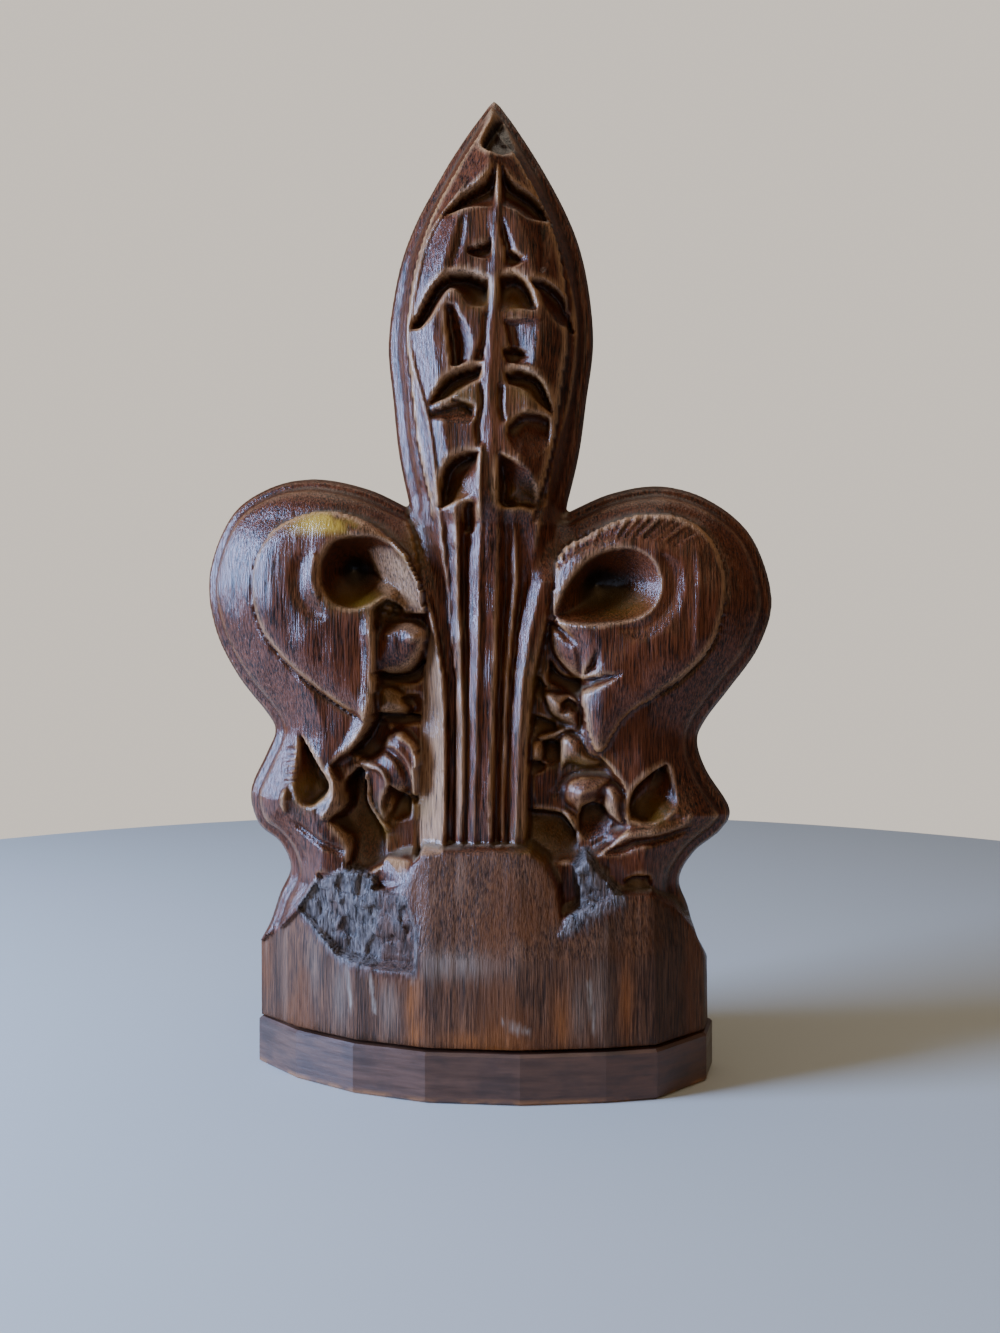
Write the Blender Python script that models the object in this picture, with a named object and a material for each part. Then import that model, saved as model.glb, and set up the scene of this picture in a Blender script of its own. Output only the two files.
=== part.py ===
"""Poppy head: a carved oak finial sawn off a bench end, on a thin base slab.

The head is one piece of oak. It is carved on both faces and stands with its grain upright.
Its front faces -Y, its height runs along +Z, and the origin is the centre of the underside.
The carving is drawn on the head's own grid: 297 steps from the block's underside to the tip,
and 35 steps from the middle of the thickness to the front of the block.
"""
import math

import bmesh
import bpy
import numpy as np
from mathutils import Vector, noise

# Driving sizes, in metres
HEAD_HEIGHT = 0.297
HEAD_DEPTH = 0.070
SLAB_HEIGHT = 0.015
SLAB_MARGIN = 0.0006
SLAB_CHAMFER = 0.0008
FIT_GAP = 0.0003
REMESH_STEP = 0.0016
HEAD_TRIANGLES = 9600
SMOOTH_UP_TO = math.radians(40)

# The carver's drawing grid
GRID_HIGH = 297.0
GRID_DEEP = 35.0
STEP = HEAD_HEIGHT / GRID_HIGH
RELIEF = HEAD_DEPTH / 2 / GRID_DEEP

# Outline of the head on the grid: across from the centre line, and up from the underside
SPEAR_STATIONS = ((164, 25.0), (182, 29.0), (200, 31.2), (218, 33.0), (239, 30.4),
                  (255, 25.4), (272, 16.5), (285, 8.2), (293.5, 2.0))
SPEAR_TIP = 295.2
AXIS_FOOT = 1.1
AXIS_LEAN = 0.0165
LEFT_LOBE = ((-23.8, 164.4), (-38, 171), (-55.4, 174.3), (-71, 171), (-83, 161.5), (-89.8, 142.5),
             (-87.3, 124.4), (-79.6, 109.6), (-70.5, 98.2), (-68, 92.5), (-71, 85.2), (-76, 73.3),
             (-73.5, 62.5), (-66.4, 56.5), (-63, 48.3), (-66.5, 40), (-69.5, 31), (-73, 24.3))
RIGHT_LOBE = ((26.1, 162.7), (40.8, 169), (56.9, 171.2), (72.8, 166.1), (85.4, 154.6),
              (91.5, 135.5),
              (87.5, 120), (78, 106.5), (70.5, 96.5), (68.1, 89.7), (71, 80.5), (78.3, 68.5),
              (75.4, 61.6), (67, 54.5), (62.3, 46), (65, 37.5), (67.4, 28.9), (71.2, 21.5))

# Plan of the block on the grid: across, and forward of the middle of the thickness
PLAN_FRONT = ((-72.9, 2), (-57.7, 16.3), (-37.7, 27.6), (-15, 34.1), (12, 35), (37.4, 31.4),
              (52.8, 27.6), (69.3, 11.4), (71.5, 2))

# Edge of the head, from the rim inwards: how far in, and how far forward
RIM_HALF = 4.0
THINNEST = 2.5
EDGE_IN = (0.0, 1.5, 2.6, 3.6, 4.4)
EDGE_FORWARD = (4.0, 7.0, 7.3, 7.8, 10.0)
BAND_HEIGHTS = (50, 70, 100, 160, 172, 250, 282, 297)
BAND_WIDTHS = (9, 14, 14, 15, 8, 7.5, 5, 3)
BAND_ROUND = 0.65
BAND_TOPS = (20, 19, 19, 19, 21, 21, 21, 21)
TIP_STEEPENS = ((262, 1.0), (296, 1.3))


def smooth_run(points, spans=6):
    """Points along a smooth curve that passes through the given ones."""
    given = [np.array(p, float) for p in points]
    chain = [2 * given[0] - given[1]] + given + [2 * given[-1] - given[-2]]
    run = []
    for a, b, c, d in zip(chain, chain[1:], chain[2:], chain[3:]):
        for step in range(spans):
            t = step / spans
            run.append(0.5 * (2 * b + (c - a) * t + (2 * a - 5 * b + 4 * c - d) * t ** 2
                              + (3 * b - a - 3 * c + d) * t ** 3))
    run.append(given[-1])
    return np.array(run)


def axis_at(up):
    """Where the spear's leaning centre line stands at a height."""
    return AXIS_FOOT + AXIS_LEAN * (up - SPEAR_STATIONS[0][0])


def spear_side(side):
    """One side of the spear, from its foot to near the tip."""
    return [(axis_at(up) + side * half, up) for up, half in SPEAR_STATIONS]


def head_outline():
    """The whole outline, anticlockwise from the block's right foot."""
    foot = [(PLAN_FRONT[-1][0], 0), RIGHT_LOBE[-1]]
    right = smooth_run(RIGHT_LOBE[::-1])[1:]
    spear_right = smooth_run(spear_side(1))[1:]
    tip = [(axis_at(SPEAR_TIP), SPEAR_TIP)]
    spear_left = smooth_run(spear_side(-1)[::-1])[:-1]
    left = smooth_run(LEFT_LOBE)
    return np.vstack([foot, right, spear_right, tip, spear_left, left, [(PLAN_FRONT[0][0], 0)]])


def distance_to(run, at, closed=False):
    """Distance from each point to a run of points, and the share of the run's length there."""
    ends = np.roll(run, -1, axis=0) if closed else run[1:]
    starts = run if closed else run[:-1]
    lengths = np.linalg.norm(ends - starts, axis=1)
    travelled = np.concatenate([[0], np.cumsum(lengths)])
    nearest = np.full(len(at), 1e9)
    share = np.zeros(len(at))
    for index, (a, b) in enumerate(zip(starts, ends)):
        along = b - a
        t = np.clip((at - a) @ along / max(along @ along, 1e-9), 0, 1)
        gap = np.hypot(at[:, 0] - a[0] - t * along[0], at[:, 1] - a[1] - t * along[1])
        closer = gap < nearest
        nearest = np.where(closer, gap, nearest)
        share = np.where(closer, (travelled[index] + t * lengths[index]) / travelled[-1], share)
    return nearest, share


def inside(loop, at):
    """Which points lie inside a closed loop."""
    odd = np.zeros(len(at), bool)
    for a, b in zip(loop, np.roll(loop, -1, axis=0)):
        spans = (a[1] > at[:, 1]) != (b[1] > at[:, 1])
        rise = b[1] - a[1] if abs(b[1] - a[1]) > 1e-9 else 1e-9
        odd ^= spans & (at[:, 0] < a[0] + (at[:, 1] - a[1]) * (b[0] - a[0]) / rise)
    return odd


def loop_through(points, spans=5):
    """A smooth closed loop through the given points."""
    chain = list(points)
    run = smooth_run(chain[-2:] + chain + chain[:2], spans)
    return run[2 * spans:-spans - 1]


class Relief:
    """Heights of one carved face above the middle of the thickness, on the grid."""

    def __init__(self, at, heights):
        self.at = at
        self.high = heights

    def near(self, run, reach=0.5):
        """Which points lie in the box round a run."""
        low = run.min(axis=0) - reach
        top = run.max(axis=0) + reach
        return np.where(((self.at > low) & (self.at < top)).all(axis=1))[0]

    def gouge(self, points, width, depth, shape=0.8, ends=(0.15, 0.15)):
        """A groove along a curve, of one width or of a width that changes on the way."""
        run = smooth_run(points)
        pick = self.near(run, np.max(width))
        gap, share = distance_to(run, self.at[pick])
        taper = np.clip(share / ends[0], 0, 1) * np.clip((1 - share) / ends[1], 0, 1)
        widths = np.interp(share, np.linspace(0, 1, np.size(width)), np.ravel(width))
        half = widths / 2 * np.sqrt(np.clip(taper, 0.0004, 1))
        self.high[pick] -= depth * np.clip(1 - gap / half, 0, 1) ** shape * np.sqrt(taper)

    def ridge(self, points, width, height, shape=1.0, ends=(0.1, 0.1)):
        """A raised reed along a curve."""
        self.gouge(points, width, -height, shape, ends)

    def scoop(self, wall, lip, depth, deepest=0.28):
        """A cut between two lines: a steep wall under the first, then a slope up to the lip."""
        wall_run = smooth_run(wall)
        lip_run = smooth_run(lip)
        loop = np.vstack([wall_run, lip_run[::-1]])
        pick = self.near(loop)
        pick = pick[inside(loop, self.at[pick])]
        from_wall, _ = distance_to(wall_run, self.at[pick])
        from_lip, _ = distance_to(lip_run, self.at[pick])
        across = from_wall + from_lip
        share = from_wall / np.maximum(across, 1e-6)
        falling = 1 - (1 - np.clip(share / deepest, 0, 1)) ** 3
        rising = (1 - np.clip((share - deepest) / (1 - deepest), 0, 1)) ** 1.1
        rim = np.clip(distance_to(loop, self.at[pick], closed=True)[0] / 1.1, 0, 1)
        bowl = np.where(share < deepest, falling, rising) * rim ** 0.6
        self.high[pick] -= depth * bowl * np.clip(across / 4, 0, 1) ** 0.7

    def pocket(self, points, depth, wall, tilt=0.0, shape=0.7):
        """A sunk area inside a loop, with sloping walls, its floor deeper towards the top by the tilt."""
        loop = loop_through(points)
        pick = self.near(loop)
        pick = pick[inside(loop, self.at[pick])]
        gap, _ = distance_to(loop, self.at[pick], closed=True)
        lean = tilt * (self.at[pick, 1] - loop[:, 1].mean())
        self.high[pick] -= (depth + lean) * (1 - (1 - np.clip(gap / wall, 0, 1)) ** 2) ** shape

    def bowl(self, points, middle, depth, shape=1.7):
        """A hollow inside a loop that falls from every side to its deepest spot."""
        loop = loop_through(points)
        pick = self.near(loop)
        pick = pick[inside(loop, self.at[pick])]
        gap, _ = distance_to(loop, self.at[pick], closed=True)
        away = np.linalg.norm(self.at[pick] - np.array(middle), axis=1)
        self.high[pick] -= depth * (1 - (away / (away + gap)) ** shape)

    def strand(self, points, left, right, height, ends=0.15):
        """A rising line of carving: a slope up from its left to the crest, then a drop on its right."""
        run = smooth_run(points)
        order = np.argsort(run[:, 1])
        low, top = run[order[0], 1], run[order[-1], 1]
        pick = np.where((self.at[:, 1] > low) & (self.at[:, 1] < top))[0]
        up = self.at[pick, 1]
        across = self.at[pick, 0] - np.interp(up, run[order, 1], run[order, 0])
        rise = np.clip(1 + across / left, 0, 1) * np.clip(1 - across / right, 0, 1)
        fade = np.clip(np.minimum(up - low, top - up) / ((top - low) * ends), 0, 1)
        self.high[pick] += height * rise * fade

    def boss(self, points, level, crown, wall, tilt=(0.0, 0.0)):
        """A leaf that stands at a level inside a loop, crowned, and tilted across and up."""
        loop = loop_through(points)
        pick = self.near(loop)
        pick = pick[inside(loop, self.at[pick])]
        if not len(pick):
            return
        gap, _ = distance_to(loop, self.at[pick], closed=True)
        offset = self.at[pick] - loop.mean(axis=0)
        rise = level + crown * (1 - np.exp(-gap / wall)) + offset @ np.array(tilt)
        ground = self.high[pick]
        self.high[pick] = np.maximum(ground, ground + (rise - ground) * np.clip(gap, 0, 1))


# Carving of the spear: each cut's depth, its wall line and its lip line
SPEAR_SCOOPS = (
    (6.0, ((6.2, 285.5), (2.8, 280.5), (0.2, 273.8), (2.8, 270.3)),
     ((6.2, 285.5), (8.8, 280), (11, 272.5), (7, 269.6), (2.8, 270.3))),
    (6.5, ((4.9, 267), (1.5, 262), (-5, 257.5), (-12.2, 251)),
     ((4.9, 252.4), (-1, 252.8), (-7, 251.9), (-12.2, 250.8))),
    (6.0, ((6.4, 267.5), (10, 261.5), (17, 257.2), (22, 250.3)),
     ((6.4, 253), (11, 251.3), (15, 249.4), (22, 249.8))),
    (4.5, ((3.9, 246.5), (2.2, 242.8), (-3.9, 240.8)), ((3.9, 237.3), (0, 237.2), (-3.9, 238.8))),
    (3.0, ((6.2, 251), (6.4, 245), (8, 239.5)), ((6.8, 251), (9, 246), (11, 240))),
    (4.0, ((7.6, 240.8), (11, 239.3), (14.2, 237)), ((7.6, 234.3), (10.5, 234.3), (14.2, 236.4))),
    (7.5, ((2.6, 231.8), (-5, 233.8), (-13, 231.2), (-21.4, 218.3)),
     ((2.6, 222.3), (-3.5, 223), (-6.3, 226.6), (-9.2, 227.8), (-14, 220.6), (-18, 217),
      (-21.4, 217.4))),
    (6.0, ((6, 232.5), (11, 233), (15, 229.5), (17.6, 222)),
     ((6, 220.5), (11.5, 221.6), (17.6, 221.3))),
    (6.0, ((15.4, 231.3), (20, 231), (25.5, 227.2), (28.9, 218)),
     ((17, 227.5), (19, 223), (23.5, 217.8), (28.9, 216.8))),
    (4.5, ((-10.6, 223.5), (-9.8, 214), (-8.6, 204.8)), ((-7.5, 224.5), (-2.2, 214), (-3, 206))),
    (3.0, ((2.7, 221), (2.4, 214), (1.2, 206.5)), ((0.6, 221), (0.2, 214), (-2.4, 206.5))),
    (3.2, ((7.0, 219), (8.5, 212), (8.5, 206)), ((20.5, 219), (18.4, 212), (17.8, 204))),
    (3.5, ((7, 210.5), (11, 211), (15, 208.5)), ((8, 204.6), (11.5, 206.2), (15, 207.6))),
    (7.0, ((0.6, 205.5), (-5, 204.4), (-11, 201.3), (-15.5, 194)),
     ((0.3, 200.6), (-3.5, 198.6), (-9, 195.2), (-15.5, 193.4))),
    (3.0, ((-1.2, 193.4), (-5, 194.6), (-10, 193.2), (-15, 191.6)),
     ((-2, 187.4), (-8, 187.6), (-15, 189.4))),
    (6.5, ((8, 203.2), (13, 203.8), (19, 200.8), (22.6, 191)),
     ((8.3, 199.2), (13, 197.2), (18, 193), (22.6, 190.4))),
    (5.0, ((8.6, 187.4), (12, 190.6), (17, 191.4), (21.3, 190)),
     ((8, 183.5), (11, 178.6), (16, 177), (21.5, 181))),
    (8.5, ((0.3, 179.6), (-6.5, 178.6), (-11.5, 174), (-12.8, 162.3)),
     ((0.2, 178.5), (-1, 171), (-2.4, 165.8), (-12.8, 161.8))),
    (7.5, ((5.6, 179), (5.5, 171), (6, 163.4), (12, 162.6)),
     ((5.6, 179), (12, 176.2), (16.5, 171.5), (19, 161.8), (12, 162.6))),
    (4.0, ((-1.2, 164.6), (-4.8, 163.2), (-5.0, 155.4)), ((-0.8, 164), (-0.9, 158), (-1.6, 154.6))),
)
SCOOPS_DEEPER = 1.2
SPEAR_GROOVES = ((((-4.8, 251), (-6, 243), (-9, 234.5)), 2.5, 1.0),
                 (((0.4, 200), (0.6, 193), (-0.4, 187), (0, 180)), 1.8, 2.4),
                 (((6.6, 200), (6.4, 193), (7.4, 187.5)), 1.6,
                  2.2), (((18.2, 249), (19.4, 240), (18.6, 233)), 3.0, 1.4),
                 (((2.6, 232), (2.9, 226), (2.6, 219)), 1.2,
                  1.0), (((-8.6, 195), (-4.6, 193.4), (-1.6, 189.5)), 1.6, 1.8))
MARGIN_ARRIS = (((-12.7, 163), (-14.4, 178), (-16.2, 190), (-21.4, 210), (-21.6, 221),
                 (-16, 244.5), (-6.4, 258), (-1.5, 266)),
                ((19.6, 163), (22.4, 178), (28.2, 203), (29, 219), (27.6, 231), (21.6, 251),
                 (12.5, 268)))

# Stem: its edges where they stand over the lobes, and its reeds
LEFT_STEM_EDGE = ((-25.5, 164), (-22, 155.5), (-20, 147.5), (-18.4, 138), (-17, 128), (-18.6, 112),
                  (-19.5, 90),
                  (-20.5, 66), (-21, 52))
RIGHT_STEM_EDGE = ((25.5, 164), (23.5, 155), (23.4, 147), (22.8, 138), (20.6, 128), (18, 115),
                   (16.4, 100), (15, 52))
STEM_HEIGHTS = (56, 90, 110, 125, 140, 152, 164)
STEM_LINES = (
    ((-20.5, -19.5, -18.6, -17.4, -19.6, -23.0, -25.0), (13.5, 13.5, 13.5, 13.5, 13.5, 10, 5)),
    ((-11.4, -10.8, -11.6, -14.4, -18.4, -21.5, -23.0), (21.2, 21.2, 21.2, 20.5, 18.5, 13, 8)),
    ((-10.6, -10.0, -10.7, -13.2, -14.8, -17.5, -22.0), (17, 17, 17, 17.2, 17, 14.5, 9.5)),
    ((-8.6, -8.1, -8.3, -9.8, -11.4, -15.2, -20.5), (17, 17, 17, 17.4, 18, 16.5, 12)),
    ((-8.2, -7.7, -7.9, -9.3, -10.3, -11.5, -12.7), (19.4, 19.4, 19.4, 19.6, 21, 22.2, 23.2)),
    ((-8.0, -7.5, -7.6, -8.7, -9.7, -10.8, -11.9), (19.6, 19.6, 19.6, 19.5, 19.8, 20.8, 22)),
    ((-5.6, -5.3, -5.6, -6.2, -6.9, -6.9, -7.4), (21.4, 21.4, 21.4, 21.6, 22.2, 23, 24.4)),
    ((-4.9, -4.6, -4.8, -5.2, -5.8, -5.4, -4.4), (16.6, 16.6, 16.6, 16.8, 17.2, 18.6, 22)),
    ((-4.3, -3.9, -3.6, -3.5, -3.6, -3.1, -2.2), (20.2, 20.2, 20.2, 20.4, 20.6, 21.4, 23.5)),
    ((-1.9, -1.1, -0.6, -0.4, -0.1, 0.1, 0.7), (22.3, 22.3, 22.3, 22.5, 23, 24, 25.6)),
    ((-1.2, -0.5, 0.1, 0.3, 0.6, 1.0, 1.5), (21.4, 21.4, 21.4, 21.4, 22.1, 23.3, 25.2)),
    ((3.2, 3.9, 4.5, 4.9, 5.1, 5.3, 5.6), (22.0, 22.0, 22.0, 22.0, 22.4, 23.4, 25.2)),
    ((4.5, 5.0, 5.8, 6.6, 7.8, 7.8, 7.4), (16.4, 16.4, 16.4, 16.6, 17.4, 19.6, 22.6)),
    ((5.2, 5.8, 6.6, 7.7, 9.3, 8.9, 8.0), (19.2, 19.2, 19.2, 19.2, 19.6, 20.8, 22.6)),
    ((7.0, 7.6, 8.4, 9.6, 11.1, 10.7, 9.4), (20.6, 20.6, 20.6, 20.6, 21, 22, 23)),
    ((7.7, 8.4, 9.4, 10.8, 12.8, 12.6, 12.0), (16.4, 16.4, 16.4, 16.6, 17.4, 20, 22.4)),
    ((8.4, 9.1, 10.2, 12.0, 14.8, 17.0, 18.8), (19.4, 19.4, 19.4, 19.4, 18.6, 20.4, 22)),
    ((10.7, 11.7, 12.9, 15.3, 18.6, 19.6, 20.6), (21.4, 21.4, 21.4, 21.6, 21.2, 16, 18)),
    ((13.2, 14.2, 15.8, 19.0, 22.0, 22.6, 23.4), (20, 20, 20, 20.6, 20.8, 15, 9)),
    ((15.0, 16.0, 17.6, 21.0, 24.5, 25.5, 26.0), (11, 11, 11, 15, 17, 14, 5)),
)
RIB = ((-0.2, 58), (1.3, 110), (2.5, 146), (3.5, 180), (3.6, 200), (4.4, 222), (5.2, 239),
       (5.6, 267))
RIB_WIDTH = 5.0
RIB_ON_SPEAR = 0.7
STRANDS = ((((0.2, 158), (0.5, 170), (0.9, 182)), 2.0, 0.8, 2.0),
           (((-6.8, 150), (-7.0, 158), (-7.6, 163)), 3.0, 1.0, 1.0))
SHOULDER = (158, 168)
MARGIN_FOOT = 8.0
SPEAR_CROWN = 6.0

# Lobes: the groove round the inner leaf, the eye and the drop-shaped hollow
LEFT_MOUND = ((-27, 152.5), (-37.5, 160), (-50, 162), (-62, 158), (-69.5, 149), (-71.3, 138),
              (-69, 126.5), (-62, 116.5),
              (-52, 107.5), (-42, 100.5), (-34.5, 97.5), (-32.6, 108), (-32.2, 122), (-27,
                                                                                      134), (-22,
                                                                                             146))
RIGHT_MOUND = ((24, 148), (33, 154.5), (42, 158.8), (52, 160.8), (63, 159), (70.5, 153),
               (74.6, 143), (74.5, 133), (71, 121),
               (63, 111.5), (53, 104.5), (44, 98.5), (36.5, 87.5), (32, 97), (31, 108), (30,
                                                                                         120), (22.5, 130))
MOUND_LEVEL = 21.8
MOUND_CROWN = 3.2
LEFT_EYE = ((-49.3, 140), (-49, 147), (-45, 152.8), (-38, 154.4), (-31, 154), (-25.6, 151),
            (-21.3, 145.5), (-18, 137.5),
            (-16.4, 130.4), (-21.6, 131.4), (-28, 134.6), (-34, 132.6), (-40, 131.4), (-46, 133.8))
LEFT_EYE_MIDDLE = (-41, 144.5)
RIGHT_EYE = ((22.2, 128.4), (24, 134.4), (27.6, 141), (33, 146.8), (40, 149.8), (47, 149.8),
             (52.6, 146), (55, 139.5),
             (53, 132.4), (47.6, 128.4), (40, 127), (31, 126.6))
RIGHT_EYE_MIDDLE = (36, 139.5)
EYE_DEPTH = 17.0
LEFT_DROP = (((-57.4, 93), (-54, 88), (-50, 82), (-47.3, 77), (-49.2, 72.4)),
             ((-57.4, 93), (-58.8, 84), (-59.4, 77), (-57, 71), (-53, 69.8), (-49.2, 72.4)))
RIGHT_DROP = (((57.6, 84), (52, 81), (47, 76.5), (45.4, 71), (46, 67)),
              ((57.6, 84), (59.6, 78), (60.6, 71.5), (57, 67.2), (51, 65.3), (46, 67)))
DROP_DEPTH = 11.0
LEFT_RECESS = ((-16, 129), (-24, 130.8), (-32.8, 131), (-32.2, 120), (-32, 108), (-34, 98),
               (-39, 90), (-44, 86), (-47, 82.4),
               (-44.8, 77), (-43.6, 70), (-46, 65.5), (-43, 61), (-41, 56.5), (-41.5, 51), (-36,
                                                                                            49.8), (-30, 52.4),
               (-24, 55), (-15, 57.4), (-15, 70), (-15, 90), (-15, 110))
RIGHT_RECESS = ((15, 122), (19, 128.4), (24, 126), (31, 110), (37, 110.4), (31, 105), (32.4, 99),
                (31.3, 93),
                (33.5, 87.5), (37.5, 85.6), (41, 81.5), (44.5, 76), (43.6, 69), (45, 64), (38,
                                                                                           57.5), (30, 54.4), (13, 55.5),
                (13, 70), (13.2, 90), (13.6, 105))
RECESS_DEPTH = 4.5

# Smaller cuts on the lobes: depth, wall line, lip line
LOBE_SCOOPS = (
    (6.0, ((-33, 132), (-29, 135), (-24.5, 132.6)), ((-32.5, 127), (-28, 128.2), (-23.5, 130.2))),
    (6.0, ((21, 117), (25, 111.8), (30, 110.6), (43, 112.2)),
     ((20, 108.5), (25, 106.4), (31, 105), (43, 111.2))),
    (4.0, ((35.4, 119.6), (33.4, 115), (30.8, 110.8)), ((36.4, 118.4), (36.4, 114), (33.5, 111.2))),
    (3.0, ((-51.5, 49.5), (-50, 44.5), (-46.5, 42.8)), ((-49, 50.5), (-45, 49.5), (-44.6, 44.5))),
    (4.0, ((44, 48.5), (47.5, 50.2), (52, 50)), ((44, 46), (49, 43.6), (53, 43))),
)
LOBE_GROOVES = (
    (((55, 148.5), (58.5, 141), (57.5, 133), (51, 126.3), (42, 125.2)), 6.0, 1.6),
    (((-54, 149), (-56, 141), (-54, 133.5), (-47, 128.5)), 5.0, 1.2),
    (((38, 56.6), (44, 58.2), (48, 60), (56, 61), (65, 63.8)), 3.0, 2.4),
    (((-60, 65.5), (-54, 61.5), (-47, 57.6), (-42, 56)), 2.6, 1.6),
    (((-62, 62), (-58, 57), (-55.5, 51)), 2.0, 0.9),
)
LOBE_RIDGES = (
    (((-16.6, 130.5), (-18.4, 138), (-21.8, 146), (-27, 152)), 3.0, 1.6),
    (((-47.2, 83), (-45.6, 77), (-46.4, 71.5), (-50, 66)), 5.0, 2.6),
    (((-50.6, 149), (-51.4, 141), (-49.6, 134.5)), 3.2, 1.0),
    (((-40, 83.4), (-36.4, 79), (-35.2, 72), (-31.6, 66), (-28, 62)), 3.0, 3.0),
    (((17, 91.4), (22, 92.6), (27.6, 94.8), (30.6, 93.4)), 2.6, 3.0),
    (((65.5, 69), (62, 65.2), (54, 63.2), (46, 62.4), (38, 61)), 4.5, 1.8),
)
LOBE_STRANDS = (
    (((-33.4, 131), (-32.8, 118), (-32.6, 108), (-34.4, 100), (-38, 92), (-44, 84)), 4.0, 0.9, 2.6),
    (((66, 152), (66.6, 140), (65.8, 117)), 2.0, 0.8, 0.7),
)

# Leaves that stand in the recesses: loop, level, crown, wall, tilt
LEFT_LEAVES = (
    (((-36, 127), (-29, 128), (-22, 128.4), (-15.6, 124.4), (-17.4, 119), (-20.4, 114.2),
      (-25, 111.6), (-36, 111)),
     17, 9, 5.0, (-0.06, 0.2)),
    (((-32, 107.6), (-27, 107.6), (-23.4, 104.6), (-21, 101), (-24, 98.8), (-32, 99.4)), 16, 6, 3,
     (-0.15, 0)),
    (((-30, 92), (-25, 94.6), (-20.4, 91), (-18.2, 84), (-17.4, 77), (-20, 73), (-24, 73.6),
      (-27.6, 79), (-30, 86)),
     18, 4, 3, (-0.12, 0)),
    (((-39.6, 84), (-36, 86), (-30, 85.4), (-27.6, 80), (-28.6, 73), (-30, 64), (-33, 67),
      (-35.4, 72), (-36.2, 79)),
     15, 4, 2.5, (-0.1, 0)),
)
RIGHT_LEAVES = (
    (((21.2, 127), (28, 125.6), (36.4, 127.6), (35.6, 121), (32.6, 113.4), (30.2, 110.4),
      (25.6, 113), (21.6, 119)),
     17, 6, 3.5, (0.1, 0)),
    (((19.2, 105.8), (24, 106.2), (30.4, 104.4), (31.2, 98), (30.6, 93.6), (26, 95.6),
      (20.6, 99.6)), 15, 6, 2.5, (-0.1, 0)),
    (((14.4, 90.4), (18.6, 91.2), (20.6, 88), (19, 84.6), (14.8, 84.4)), 15, 5, 2, (-0.2, 0)),
    (((24.4, 92.4), (30.6, 92.6), (34, 88), (38, 84.6), (34, 82.4), (27, 83.4), (24.4, 81)), 16, 5,
     3, (0, 0.1)),
    (((25.6, 72), (26, 77.6), (30, 80.4), (36, 80.6), (40.4, 79.4), (38.4, 74), (34.6, 71),
      (30.6, 68.4)), 15, 8, 4, (0, 0.1)),
    (((37.4, 77), (41, 78), (44.4, 74), (44, 68), (44.6, 64.4), (40.6, 66.6), (37.6, 70.8)), 17, 6,
     3, (0, 0)),
    (((25, 70), (29, 69), (31.2, 65.8), (30.4, 61.6), (27.4, 62.6), (24.6, 66.4)), 13, 6, 2.4,
     (-0.1, 0)),
    (((13.6, 80), (16.4, 80), (17.2, 75), (16.4, 71.4), (13.8, 72)), 14, 5, 2, (-0.3, 0)),
)
LEAF_SCOOPS = (
    (5.0, ((24.6, 103), (27, 104.4), (30, 102.4)), ((23.8, 99), (26.4, 98.6), (30, 99.6))),
    (8.0, ((-15.6, 122), (-19.6, 115.5), (-24.5, 112), (-33, 112.6)),
     ((-16.6, 112), (-20, 108.4), (-25, 107.8), (-33, 109.4))),
    (6.0, ((-26, 104.6), (-24, 101), (-24.4, 97.6)), ((-19, 105.4), (-17.6, 101.5), (-19, 97.4))),
    (7.0, ((-33.4, 99.8), (-27, 99.4), (-19, 98.8)), ((-33.4, 95.6), (-26, 94.8), (-19, 95.6))),
    (6.5, ((-20.8, 88), (-17, 89.2), (-13.6, 91)), ((-19.6, 85), (-17, 84.8), (-13.8, 86.6))),
    (5.5, ((-19, 86), (-17.8, 80), (-18, 73.6)), ((-15, 86), (-14.4, 80), (-14.6, 74))),
    (5.5, ((-23, 73.4), (-18, 73.8), (-14.4, 74.6)), ((-21, 70), (-18, 70.6), (-14.4, 71.4))),
    (7.0, ((-33.4, 98), (-37, 92.5), (-42, 86.4)),
     ((-28.4, 96), (-29, 91), (-29, 86.6), (-34, 83.8))),
    (7.0, ((-28.6, 77.6), (-26, 75.4), (-22.4, 73)), ((-31.6, 70), (-28, 65), (-22, 66))),
    (7.0, ((19, 91), (22, 91.4), (24.8, 90.4)), ((18.4, 84), (21.5, 82), (24.8, 84.6))),
    (5.0, ((13.6, 84.6), (17, 84.8), (20, 83.6)), ((13.6, 80.6), (17, 80), (20, 81.4))),
    (8.0, ((31, 71), (34.5, 72), (37.8, 70.8)), ((29.4, 62), (33, 59.4), (38, 62), (40.6, 66))),
    (7.0, ((13.2, 69.8), (20, 69.4), (26, 67.8), (29.8, 62)),
     ((13.2, 55.6), (20, 55), (28, 55.2), (30, 58))),
    (4.0, ((22, 73.6), (24.8, 79), (29, 81.6), (40, 82.4)),
     ((23, 72.4), (26, 77.6), (30.4, 80.4), (40, 81))),
    (5.0, ((14, 99), (18, 98.6), (23, 96.6)), ((14, 92.6), (18, 92), (24, 93.4))),
    (5.0, ((13.6, 117), (16.6, 113), (20, 108)), ((13.4, 108), (16, 105), (19, 103))),
)
LEAF_RIDGES = (
    (((-27.4, 92.4), (-22.6, 89.6), (-19.4, 83), (-18.4, 75.6)), 4.0, 2.2),
    (((-27, 86.6), (-23.6, 81.6), (-21, 75)), 2.6, 1.8),
    (((-30, 123), (-24, 125.4), (-19, 122)), 8.0, 1.6),
)
LEFT_CAVITY = ((-38, 82.6), (-43, 78), (-43, 70.6), (-47.4, 66.2), (-43.6, 62.4), (-40.6, 59.6),
               (-40.8, 53),
               (-36, 50.4), (-31, 52.4), (-30, 60), (-32.6, 66.2), (-35.6, 71), (-36.2, 78))
CAVITY_DEPTH = 7.0
CAVITY_WALL = 3.0
CAVITY_TILT = 0.45
BEAD_SWELL = (16, 4.5, 1.6)
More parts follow.
